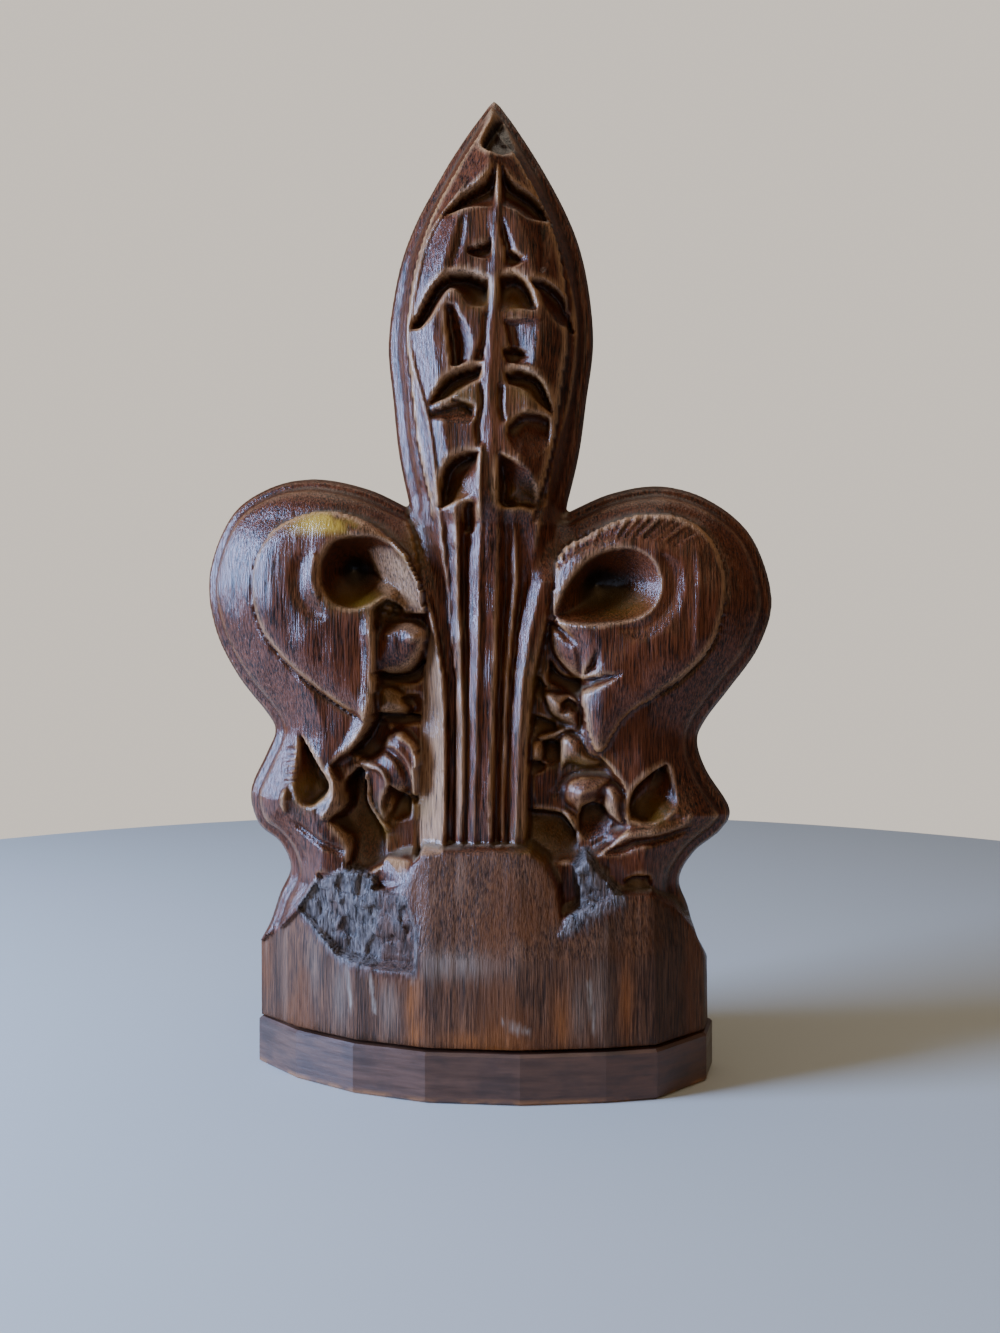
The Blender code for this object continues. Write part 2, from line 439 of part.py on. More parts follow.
BEAD = ((-64, 73.4), (-62, 76.4), (-59.6, 74.4), (-59.9, 69.2), (-61.8, 67.2), (-63.8, 69.6))

# Where the block's rough faces end and the carving begins, left to right
FRONT_BLOCK_TOP = ((-80, 23), (-73, 24.3), (-65, 30), (-57.5, 37.5), (-50, 31), (-44, 25.5),
                   (-31, 23),
                   (-19.5, 23.3), (-19, 34), (-23.5, 45), (-17.5, 57.5), (-11, 58), (4,
                                                                                     58.6), (15.5,
                                                                                             58),
                   (20, 55), (23.5, 48), (24.7, 39), (31, 41.5), (42, 45.5), (52, 45), (60,
                                                                                        40), (67,
                                                                                              31),
                   (71, 21), (80, 20))
BACK_BLOCK_TOP = ((-80, 23), (-72, 24), (-60, 36), (-45, 43), (-28, 49), (-19, 57), (19, 57),
                  (28, 49),
                  (45, 43), (60, 36), (71, 21), (80, 20))
LEDGE_SLOPE = 12.0
LEAN_FROM = 27.0
BLOCK_LEAN = 0.22
TORN_PATCH = ((-57.5, 38), (-50, 30.5), (-44, 25), (-31, 22.5), (-19, 22.8), (-18.5, 34),
              (-23, 45.5),
              (-29, 47), (-40, 51), (-51, 47))
TORN_LOW = 15.0
TORN_TILT = 0.32
TORN_CHIPS = 1.9
CHIP_SIZE = (4.4, 3.4)
CHISEL_FACET = ((-31.6, 46.2), (-31.4, 53.6), (-19.6, 54), (-24.4, 46))
FACET_HIGH = 27.0
FACET_TILT = (0.7, -0.1)
SPIKE_LEVEL = 27.0
ROUGH_SPIKE = ((29, 53), (32.4, 57), (36, 52), (40, 48), (43.6, 44), (40, 41.6), (35, 40.4),
               (30, 36.6), (25, 34.4),
               (27, 38.6), (30.4, 42), (30, 48))


def edge_height(gap, up):
    """Height of the moulded edge at a distance in from the outline."""
    band = np.interp(up, BAND_HEIGHTS, BAND_WIDTHS)
    gap = gap * np.interp(up, *np.array(TIP_STEEPENS).T)
    share = np.clip((gap - EDGE_IN[-1]) / band, 0, 1)
    moulded = np.interp(gap, EDGE_IN, EDGE_FORWARD)
    rise = np.interp(up, BAND_HEIGHTS, BAND_TOPS) - EDGE_FORWARD[-1]
    return np.where(gap < EDGE_IN[-1], moulded, EDGE_FORWARD[-1] + rise * share ** BAND_ROUND)


def mirrored(points):
    """The same points on the other side of the centre line."""
    return tuple((-across, up) for across, up in points)


def moulded_stem(at):
    """Height of the stem: its reeds are one moulding, run along guide lines that spread as they climb."""
    lines = [np.interp(at[:, 1], STEM_HEIGHTS, line) for line, _ in STEM_LINES]
    levels = [np.interp(at[:, 1], STEM_HEIGHTS, np.broadcast_to(level, len(STEM_HEIGHTS)))
              for _, level in STEM_LINES]
    height = levels[0]
    for left, right, low, top in zip(lines, lines[1:], levels, levels[1:]):
        share = np.clip((at[:, 0] - left) / np.maximum(right - left, 0.01), 0, 1)
        height = np.where(at[:, 0] > left, low + (top - low) * share, height)
    return height


def raise_shaft(relief, inward):
    """The shaft's ground: the spear's crowned field above, and the moulded stem below it."""
    up = relief.at[:, 1]
    spear = np.clip((up - SHOULDER[0]) / (SHOULDER[1] - SHOULDER[0]), 0, 1)
    field = BAND_TOPS[-1] + SPEAR_CROWN * np.clip((inward - MARGIN_FOOT) / 9, 0, 1) ** 0.8
    tall = np.maximum(edge_height(inward, up), np.where(inward > MARGIN_FOOT, field, 0))
    ground = moulded_stem(relief.at) * (1 - spear) + tall * spear
    relief.high = np.where(inward > 0, ground, relief.high)


def carve_spear(relief):
    """The spear's raised arris along its margin, its grooves and its tiers of scooped cuts."""
    for line in MARGIN_ARRIS:
        relief.ridge(line, 2.2, 1.3, ends=(0.02, 0.2))
    for line, width, depth in SPEAR_GROOVES:
        relief.gouge(line, width, depth)
    for depth, wall, lip in SPEAR_SCOOPS:
        relief.scoop(wall, lip, depth * SCOOPS_DEEPER)


def carve_lobe(relief, side):
    """One lobe: the mound of its inner leaf, its eye, its drop-shaped hollow and its recess."""
    mound = loop_through(LEFT_MOUND if side < 0 else RIGHT_MOUND)
    gap, _ = distance_to(mound, relief.at, closed=True)
    within = inside(mound, relief.at)
    swell = MOUND_LEVEL + MOUND_CROWN * (1 - np.exp(-gap / 3.6))
    relief.high = np.where(within, swell, relief.high)
    relief.gouge((LEFT_MOUND if side < 0 else RIGHT_MOUND)[3:11], 2.4, 1.6, ends=(0.6, 0.05))
    relief.pocket(LEFT_RECESS if side < 0 else RIGHT_RECESS, RECESS_DEPTH, 2.6)
    if side < 0:
        relief.bowl(LEFT_EYE, LEFT_EYE_MIDDLE, EYE_DEPTH)
    else:
        relief.bowl(RIGHT_EYE, RIGHT_EYE_MIDDLE, EYE_DEPTH)
    relief.scoop(*(LEFT_DROP if side < 0 else RIGHT_DROP), DROP_DEPTH, 0.4)


def carve_stem(relief):
    """The reeds of the stem, and the rib that runs on up the spear."""
    relief.ridge(RIB[2:], RIB_WIDTH, RIB_ON_SPEAR, shape=0.5, ends=(0.2, 0.06))
    for points, left, right, height in STRANDS:
        relief.strand(points, left, right, height)


def torn(at, strength):
    """Broken wood: chips with hard edges, each with its own height and tilt, the same every run."""
    rough = []
    for across, up in at:
        spot = Vector((across / CHIP_SIZE[0], up / CHIP_SIZE[1], 3.7))
        chip = noise.voronoi(spot)[1][0]
        tilt = noise.noise_vector(chip * 3.1)
        rough.append(noise.noise(chip * 2.3) + 0.9 * tilt.dot(spot - chip) + noise.noise(spot / 3)
                     + 0.25 * noise.noise(spot * 4))
    return np.array(rough) * strength


def shaft_distance(at):
    """How far inside the shaft, the spear and stem in one, each point is."""
    tip = (axis_at(SPEAR_TIP), SPEAR_TIP)
    sides = np.array(list(RIGHT_STEM_EDGE[::-1]) + smooth_run(spear_side(1)).tolist() + [tip]
                     + smooth_run(spear_side(-1)).tolist()[::-1] + list(LEFT_STEM_EDGE))
    gap, _ = distance_to(sides, at)
    return np.where(inside(sides, at), gap, -gap)


def with_block(high, at, top, face):
    """The rough block below the carving: its faceted plan and the ledge where the carving begins."""
    plan = np.interp(at[:, 0] * face, *np.array(PLAN_FRONT).T)
    plan = plan - BLOCK_LEAN * np.clip(at[:, 1] - LEAN_FROM, 0, None) * np.clip(plan / GRID_DEEP,
                                                                                0, 1)
    block = np.array(top + ((80, -6), (-80, -6)))
    past, _ = distance_to(np.array(top, float), at)
    return np.where(inside(block, at), plan, np.maximum(high, plan - past * LEDGE_SLOPE))


def front_heights(at, gap):
    """The front face: the full carving, with the torn patch and the rough block."""
    relief = Relief(at, edge_height(gap, at[:, 1]))
    for side in (-1, 1):
        carve_lobe(relief, side)
    relief.pocket(LEFT_CAVITY, CAVITY_DEPTH, CAVITY_WALL, CAVITY_TILT)
    for depth, wall, lip in LOBE_SCOOPS:
        relief.scoop(wall, lip, depth)
    for line, width, depth in LOBE_GROOVES:
        relief.gouge(line, width, depth)
    for line, width, height in LOBE_RIDGES:
        relief.ridge(line, width, height)
    for line, left, right, height in LOBE_STRANDS:
        relief.strand(line, left, right, height)
    for loop, level, crown, wall, tilt in LEFT_LEAVES + RIGHT_LEAVES:
        relief.boss(loop, level, crown, wall, tilt)
    for depth, wall, lip in LEAF_SCOOPS:
        relief.scoop(wall, lip, depth)
    for line, width, height in LEAF_RIDGES:
        relief.ridge(line, width, height)
    relief.boss(BEAD, *BEAD_SWELL)
    raise_shaft(relief, shaft_distance(at))
    carve_stem(relief)
    carve_spear(relief)
    patch = inside(np.array(TORN_PATCH), at)
    slope = TORN_LOW + (at[:, 0] - TORN_PATCH[0][0]) * TORN_TILT
    relief.high[patch] = slope[patch] + torn(at[patch], TORN_CHIPS)
    facet = inside(np.array(CHISEL_FACET), at)
    relief.high[facet] = FACET_HIGH + (at[facet] - CHISEL_FACET[2]) @ np.array(FACET_TILT)
    spike = inside(np.array(ROUGH_SPIKE), at)
    relief.high[spike] = SPIKE_LEVEL + torn(at[spike], TORN_CHIPS)
    return with_block(relief.high, at, FRONT_BLOCK_TOP, 1)


def back_heights(at, gap):
    """The back face: the same design, plainer, on a block with plain facets."""
    relief = Relief(at, edge_height(gap, at[:, 1]))
    for side in (-1, 1):
        carve_lobe(relief, side)
        for loop, level, crown, wall, tilt in LEFT_LEAVES:
            turned = loop if side < 0 else mirrored(loop)
            relief.boss(turned, level, crown, wall, tilt)
    raise_shaft(relief, shaft_distance(at))
    carve_stem(relief)
    carve_spear(relief)
    return with_block(relief.high, at, BACK_BLOCK_TOP, -1)


def place(bm, name, tint, roughness):
    """Link a finished shape as its own object, with its own material."""
    mesh = bpy.data.meshes.new(name)
    bm.to_mesh(mesh)
    bm.free()
    finish = bpy.data.materials.new(name + "_finish")
    finish.use_nodes = True
    shader = finish.node_tree.nodes["Principled BSDF"]
    shader.inputs["Base Color"].default_value = (*tint, 1)
    shader.inputs["Roughness"].default_value = roughness
    shader.inputs["Metallic"].default_value = 0.0
    mesh.materials.append(finish)
    piece = bpy.data.objects.new(name, mesh)
    bpy.context.scene.collection.objects.link(piece)
    return piece


def plate(outline, low, high):
    """A flat plate with the given outline, standing upright between two depths."""
    bm = bmesh.new()
    ring = [bm.verts.new((across, low, up)) for across, up in outline]
    face = bm.faces.new(ring)
    grown = bmesh.ops.extrude_face_region(bm, geom=[face])
    lifted = [part for part in grown["geom"] if isinstance(part, bmesh.types.BMVert)]
    bmesh.ops.translate(bm, verts=lifted, vec=(0, high - low, 0))
    bmesh.ops.recalc_face_normals(bm, faces=bm.faces)
    return bm


def settled(piece):
    """Apply the modifiers on a piece."""
    graph = bpy.context.evaluated_depsgraph_get()
    mesh = bpy.data.meshes.new_from_object(piece.evaluated_get(graph))
    piece.modifiers.clear()
    piece.data = mesh
    return mesh


def carved_head():
    """The head: a thin blank of the outline, whose two faces are pushed out to the carved heights."""
    outline = head_outline()
    blank = plate(outline * STEP, -RIM_HALF * RELIEF, RIM_HALF * RELIEF)
    head = place(blank, "carved_head", (0.045, 0.019, 0.010), 0.35)
    remesh = head.modifiers.new("even_net", "REMESH")
    remesh.mode = "VOXEL"
    remesh.voxel_size = REMESH_STEP
    mesh = settled(head)
    spots = np.empty(len(mesh.vertices) * 3, np.float32)
    mesh.vertices.foreach_get("co", spots)
    spots = spots.reshape(-1, 3).astype(float)
    at = spots[:, (0, 2)] / STEP
    gap, _ = distance_to(outline, at, closed=True)
    gap = np.where(inside(outline, at), gap, 0)
    side = np.clip(spots[:, 1] / (RIM_HALF * RELIEF), -1, 1)
    front = np.maximum(front_heights(at, gap), THINNEST)
    back = np.maximum(back_heights(at, gap), THINNEST)
    spots[:, 1] = side * np.where(side < 0, front, back) * RELIEF
    spots[:, 2] = np.maximum(spots[:, 2], 0)
    mesh.vertices.foreach_set("co", spots.ravel().astype(np.float32))
    mesh.update()
    thin = head.modifiers.new("fewer_faces", "DECIMATE")
    thin.ratio = min(1.0, HEAD_TRIANGLES / sum(len(face.vertices) - 2 for face in mesh.polygons))
    mesh = settled(head)
    mesh.shade_smooth()
    mesh.set_sharp_from_angle(angle=SMOOTH_UP_TO)
    head.location.z = SLAB_HEIGHT + FIT_GAP
    return head


def base_slab():
    """The board under the block: the block's plan, a little proud of it, with its arrises taken off."""
    front = [(across * STEP, -forward * RELIEF) for across, forward in PLAN_FRONT]
    back = [(-across * STEP, forward * RELIEF) for across, forward in PLAN_FRONT]
    bm = bmesh.new()
    ring = [bm.verts.new((x + math.copysign(SLAB_MARGIN, x), y + math.copysign(SLAB_MARGIN, y), 0))
            for x, y in front + back]
    face = bm.faces.new(ring)
    grown = bmesh.ops.extrude_face_region(bm, geom=[face])
    lifted = [part for part in grown["geom"] if isinstance(part, bmesh.types.BMVert)]
    bmesh.ops.translate(bm, verts=lifted, vec=(0, 0, SLAB_HEIGHT))
    bmesh.ops.recalc_face_normals(bm, faces=bm.faces)
    rims = [edge for edge in bm.edges if abs(edge.verts[0].co.z - edge.verts[1].co.z) < SLAB_CHAMFER / 2]
    bmesh.ops.bevel(bm, geom=rims, offset=SLAB_CHAMFER, offset_type="OFFSET", segments=1, profile=0.5,
                    affect="EDGES", material=-1)
    return place(bm, "base_slab", (0.040, 0.021, 0.016), 0.45)


for leftover in list(bpy.data.objects):
    bpy.data.objects.remove(leftover, do_unlink=True)
carved_head()
base_slab()
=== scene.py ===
# %% [markdown]
# A carved poppy head in Blender: a dark oak finial on a thin base slab, sawn off a church bench.
# The first cell loads the packed solids as a fixed frame. Nothing in the frame is moved or changed:
# every finer piece made below takes its place and its size from the frame's own boxes.

# %% Load the frame
import math

import bmesh
import bpy
import numpy as np
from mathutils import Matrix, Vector, noise


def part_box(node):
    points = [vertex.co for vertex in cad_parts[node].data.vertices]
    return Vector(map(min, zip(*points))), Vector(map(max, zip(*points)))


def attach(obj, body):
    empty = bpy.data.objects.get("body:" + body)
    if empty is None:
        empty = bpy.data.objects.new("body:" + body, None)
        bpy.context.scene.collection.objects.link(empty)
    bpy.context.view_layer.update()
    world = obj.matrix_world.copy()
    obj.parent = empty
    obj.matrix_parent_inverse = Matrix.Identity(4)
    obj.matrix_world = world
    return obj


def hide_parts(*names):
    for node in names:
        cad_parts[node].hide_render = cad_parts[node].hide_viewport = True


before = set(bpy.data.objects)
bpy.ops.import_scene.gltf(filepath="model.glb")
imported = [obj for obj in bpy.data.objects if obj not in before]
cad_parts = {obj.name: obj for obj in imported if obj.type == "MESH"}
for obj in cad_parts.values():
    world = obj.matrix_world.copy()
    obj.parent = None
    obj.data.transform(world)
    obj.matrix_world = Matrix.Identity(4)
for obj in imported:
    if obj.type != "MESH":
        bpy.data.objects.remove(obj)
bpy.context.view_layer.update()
head_low, head_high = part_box("carved_head")
print("head", [round(1000 * side) for side in head_high - head_low], "mm")

# %% [markdown]
# The carving is drawn on the carver's own grid: 297 steps from the underside of the block to the tip
# of the spear, and 35 steps from the middle of the thickness to the front of the block. A grid keeps
# the drawing apart from the real size, which comes from the frame.

# %% The carver's grid
GRID_HIGH = 297.0
GRID_DEEP = 35.0
TIP_ABOVE_BLOCK = 0.297
STEP = TIP_ABOVE_BLOCK / GRID_HIGH
RELIEF = (head_high.y - head_low.y) / 2 / GRID_DEEP
HEAD_FOOT = head_low.z
print("one step up is", round(STEP * 1000, 3), "mm, one step forward", round(RELIEF * 1000, 3), "mm")

# %% [markdown]
# The outline was sawn first on the real piece: a leaf-shaped spear between two drooping lobes. It
# could be a Bezier curve. Here a few points are run through by a smooth curve, because the same
# curve is needed again for every cut of the carving. The spear leans a little, as it does in the wood.

# %% Outline of the head
SPEAR_STATIONS = (
    (164, 25.0), (182, 29.0), (200, 31.2), (218, 33.0), (239, 30.4), (255, 25.4), (272, 16.5),
    (285, 8.2), (293.5, 2.0)
)
SPEAR_TIP = 295.2
AXIS_FOOT = 1.1
AXIS_LEAN = 0.0165
LEFT_LOBE = (
    (-23.8, 164.4), (-38, 171), (-55.4, 174.3), (-71, 171), (-83, 161.5), (-89.8, 142.5),
    (-87.3, 124.4), (-79.6, 109.6), (-70.5, 98.2), (-68, 92.5), (-71, 85.2), (-76, 73.3),
    (-73.5, 62.5), (-66.4, 56.5), (-63, 48.3), (-66.5, 40), (-69.5, 31), (-73, 24.3)
)
RIGHT_LOBE = (
    (26.1, 162.7), (40.8, 169), (56.9, 171.2), (72.8, 166.1), (85.4, 154.6), (91.5, 135.5),
    (87.5, 120), (78, 106.5), (70.5, 96.5), (68.1, 89.7), (71, 80.5), (78.3, 68.5), (75.4, 61.6),
    (67, 54.5), (62.3, 46), (65, 37.5), (67.4, 28.9), (71.2, 21.5)
)
# Plan of the block: across, and forward of the middle of the thickness
PLAN_FRONT = (
    (-72.9, 2), (-57.7, 16.3), (-37.7, 27.6), (-15, 34.1), (12, 35), (37.4, 31.4), (52.8, 27.6),
    (69.3, 11.4), (71.5, 2)
)


def smooth_run(points, spans=6):
    """Points along a smooth curve that passes through the given ones."""
    given = [np.array(p, float) for p in points]
    chain = [2 * given[0] - given[1]] + given + [2 * given[-1] - given[-2]]
    run = []
    for a, b, c, d in zip(chain, chain[1:], chain[2:], chain[3:]):
        for step in range(spans):
            t = step / spans
            run.append(0.5 * (2 * b + (c - a) * t + (2 * a - 5 * b + 4 * c - d) * t ** 2
                              + (3 * b - a - 3 * c + d) * t ** 3))
    run.append(given[-1])
    return np.array(run)


def axis_at(up):
    """Where the spear's leaning centre line stands at a height."""
    return AXIS_FOOT + AXIS_LEAN * (up - SPEAR_STATIONS[0][0])


def spear_side(side):
    """One side of the spear, from its foot to near the tip."""
    return [(axis_at(up) + side * half, up) for up, half in SPEAR_STATIONS]


def head_outline():
    """The whole outline, anticlockwise from the block's right foot."""
    foot = [(PLAN_FRONT[-1][0], 0), RIGHT_LOBE[-1]]
    right = smooth_run(RIGHT_LOBE[::-1])[1:]
    spear_right = smooth_run(spear_side(1))[1:]
    tip = [(axis_at(SPEAR_TIP), SPEAR_TIP)]
    spear_left = smooth_run(spear_side(-1)[::-1])[:-1]
    left = smooth_run(LEFT_LOBE)
    return np.vstack([foot, right, spear_right, tip, spear_left, left, [(PLAN_FRONT[0][0], 0)]])


outline = head_outline()
print("outline of", len(outline), "points, on the grid", outline.min(axis=0), "to", outline.max(axis=0))

# %% [markdown]
# Each cut is placed by two questions about a point: how far is it from a line, and is it inside a
# loop. Numpy answers both for all the points at once, which is quicker than asking one at a time.

# %% Near a line, inside a loop
def distance_to(run, at, closed=False):
    """Distance from each point to a run of points, and the share of the run's length there."""
    ends = np.roll(run, -1, axis=0) if closed else run[1:]
    starts = run if closed else run[:-1]
    lengths = np.linalg.norm(ends - starts, axis=1)
    travelled = np.concatenate([[0], np.cumsum(lengths)])
    nearest = np.full(len(at), 1e9)
    share = np.zeros(len(at))
    for index, (a, b) in enumerate(zip(starts, ends)):
        along = b - a
        t = np.clip((at - a) @ along / max(along @ along, 1e-9), 0, 1)
        gap = np.hypot(at[:, 0] - a[0] - t * along[0], at[:, 1] - a[1] - t * along[1])
        closer = gap < nearest
        nearest = np.where(closer, gap, nearest)
        share = np.where(closer, (travelled[index] + t * lengths[index]) / travelled[-1], share)
    return nearest, share


def inside(loop, at):
    """Which points lie inside a closed loop."""
    odd = np.zeros(len(at), bool)
    for a, b in zip(loop, np.roll(loop, -1, axis=0)):
        spans = (a[1] > at[:, 1]) != (b[1] > at[:, 1])
        rise = b[1] - a[1] if abs(b[1] - a[1]) > 1e-9 else 1e-9
        odd ^= spans & (at[:, 0] < a[0] + (at[:, 1] - a[1]) * (b[0] - a[0]) / rise)
    return odd


def loop_through(points, spans=5):
    """A smooth closed loop through the given points."""
    chain = list(points)
    run = smooth_run(chain[-2:] + chain + chain[:2], spans)
    return run[2 * spans:-spans - 1]


from_axis, _ = distance_to(outline, np.array([[0, 150.0]]), closed=True)
print("outline", round(float(from_axis[0])), "steps from the axis")

# %% [markdown]
# A moulding runs round the edge of the whole head: a flat rim, a small step, then a rounded band up
# to the carved ground. It could be a bevel, but its width changes on the way round. So it is drawn
# as a height above the middle of the thickness, for a distance in from the outline.

# %% The moulded edge
RIM_HALF = 4.0
EDGE_IN = (0.0, 1.5, 2.6, 3.6, 4.4)
EDGE_FORWARD = (4.0, 7.0, 7.3, 7.8, 10.0)
BAND_HEIGHTS = (50, 70, 100, 160, 172, 250, 282, 297)
BAND_WIDTHS = (9, 14, 14, 15, 8, 7.5, 5, 3)
BAND_ROUND = 0.65
BAND_TOPS = (20, 19, 19, 19, 21, 21, 21, 21)
TIP_STEEPENS = ((262, 1.0), (296, 1.3))


def edge_height(gap, up):
    """Height of the moulded edge at a distance in from the outline."""
    band = np.interp(up, BAND_HEIGHTS, BAND_WIDTHS)
    gap = gap * np.interp(up, *np.array(TIP_STEEPENS).T)
    share = np.clip((gap - EDGE_IN[-1]) / band, 0, 1)
    moulded = np.interp(gap, EDGE_IN, EDGE_FORWARD)
    rise = np.interp(up, BAND_HEIGHTS, BAND_TOPS) - EDGE_FORWARD[-1]
    return np.where(gap < EDGE_IN[-1], moulded, EDGE_FORWARD[-1] + rise * share ** BAND_ROUND)


print("edge", edge_height(np.array([0, 4.0, 12.0]), np.full(3, 150.0)).round(1), "steps forward")

# %% [markdown]
# The carver's tools are few: a gouge run along a line, a slanting scoop between a steep wall and a
# lip, a sunk pocket, a bowl, a rising strand, and a leaf left standing in a recess. Each is one
# method below, and each changes one field of heights. Sculpting would do it by hand, but numbers
# can be corrected against the real piece one cut at a time.

# %% The carver's cuts
class Relief:
    """Heights of one carved face above the middle of the thickness, on the grid."""

    def __init__(self, at, heights):
        self.at = at
        self.high = heights

    def near(self, run, reach=0.5):
        """Which points lie in the box round a run."""
        low = run.min(axis=0) - reach
        top = run.max(axis=0) + reach
        return np.where(((self.at > low) & (self.at < top)).all(axis=1))[0]

    def gouge(self, points, width, depth, shape=0.8, ends=(0.15, 0.15)):
        """A groove along a curve, of one width or of a width that changes on the way."""
        run = smooth_run(points)
        pick = self.near(run, np.max(width))
        gap, share = distance_to(run, self.at[pick])
        taper = np.clip(share / ends[0], 0, 1) * np.clip((1 - share) / ends[1], 0, 1)
        widths = np.interp(share, np.linspace(0, 1, np.size(width)), np.ravel(width))
        half = widths / 2 * np.sqrt(np.clip(taper, 0.0004, 1))
        self.high[pick] -= depth * np.clip(1 - gap / half, 0, 1) ** shape * np.sqrt(taper)

    def ridge(self, points, width, height, shape=1.0, ends=(0.1, 0.1)):
        """A raised reed along a curve."""
        self.gouge(points, width, -height, shape, ends)

    def scoop(self, wall, lip, depth, deepest=0.22):
        """A cut between two lines: a steep wall under the first, then a slope up to the lip."""
        wall_run = smooth_run(wall)
        lip_run = smooth_run(lip)
        loop = np.vstack([wall_run, lip_run[::-1]])
        pick = self.near(loop)
        pick = pick[inside(loop, self.at[pick])]
        from_wall, _ = distance_to(wall_run, self.at[pick])
        from_lip, _ = distance_to(lip_run, self.at[pick])
        across = from_wall + from_lip
        share = from_wall / np.maximum(across, 1e-6)
        falling = 1 - (1 - np.clip(share / deepest, 0, 1)) ** 3
        rising = (1 - np.clip((share - deepest) / (1 - deepest), 0, 1)) ** 1.1
        rim = np.clip(distance_to(loop, self.at[pick], closed=True)[0] / 1.1, 0, 1)
        bowl = np.where(share < deepest, falling, rising) * rim ** 0.6
        self.high[pick] -= depth * bowl * np.clip(across / 4, 0, 1) ** 0.7

    def pocket(self, points, depth, wall, tilt=0.0, shape=0.7):
        """A sunk area inside a loop, with sloping walls, its floor deeper towards the top by the tilt."""
        loop = loop_through(points)
        pick = self.near(loop)
        pick = pick[inside(loop, self.at[pick])]
        gap, _ = distance_to(loop, self.at[pick], closed=True)
        lean = tilt * (self.at[pick, 1] - loop[:, 1].mean())
        self.high[pick] -= (depth + lean) * (1 - (1 - np.clip(gap / wall, 0, 1)) ** 2) ** shape

    def bowl(self, points, middle, depth, shape=1.7):
        """A hollow inside a loop that falls from every side to its deepest spot."""
        loop = loop_through(points)
        pick = self.near(loop)
        pick = pick[inside(loop, self.at[pick])]
        gap, _ = distance_to(loop, self.at[pick], closed=True)
        away = np.linalg.norm(self.at[pick] - np.array(middle), axis=1)
        self.high[pick] -= depth * (1 - (away / (away + gap)) ** shape)

    def strand(self, points, left, right, height, ends=0.15):
        """A rising line of carving: a slope up from its left to the crest, then a drop on its right."""
        run = smooth_run(points)
        order = np.argsort(run[:, 1])
        low, top = run[order[0], 1], run[order[-1], 1]
        pick = np.where((self.at[:, 1] > low) & (self.at[:, 1] < top))[0]
        up = self.at[pick, 1]
        across = self.at[pick, 0] - np.interp(up, run[order, 1], run[order, 0])
        rise = np.clip(1 + across / left, 0, 1) * np.clip(1 - across / right, 0, 1)
        fade = np.clip(np.minimum(up - low, top - up) / ((top - low) * ends), 0, 1)
        self.high[pick] += height * rise * fade

    def boss(self, points, level, crown, wall, tilt=(0.0, 0.0)):
        """A leaf that stands at a level inside a loop, crowned, and tilted across and up."""
        loop = loop_through(points)
        pick = self.near(loop)
        pick = pick[inside(loop, self.at[pick])]
        if not len(pick):
            return
        gap, _ = distance_to(loop, self.at[pick], closed=True)
        offset = self.at[pick] - loop.mean(axis=0)
        rise = level + crown * (1 - np.exp(-gap / wall)) + offset @ np.array(tilt)
        ground = self.high[pick]
        self.high[pick] = np.maximum(ground, ground + (rise - ground) * np.clip(gap, 0, 1))


print("cuts:", ", ".join(name for name in vars(Relief) if name[0] != "_"))

# %% [markdown]
# The stem is a bundle of reeds between hollows, and it spreads as it climbs into the spear. Reeds
# could be separate rods, but on the real head they are one moulding, cut from the solid. So guide
# lines give each arris and each hollow its place and its height at seven heights of the stem.

# %% The stem and its reeds
LEFT_STEM_EDGE = (
    (-25.5, 164), (-22, 155.5), (-20, 147.5), (-18.4, 138), (-17, 128), (-18.6, 112), (-19.5, 90),
    (-20.5, 66), (-21, 52)
)
RIGHT_STEM_EDGE = (
    (25.5, 164), (23.5, 155), (23.4, 147), (22.8, 138), (20.6, 128), (18, 115), (16.4, 100),
    (15, 52)
)
STEM_HEIGHTS = (56, 90, 110, 125, 140, 152, 164)
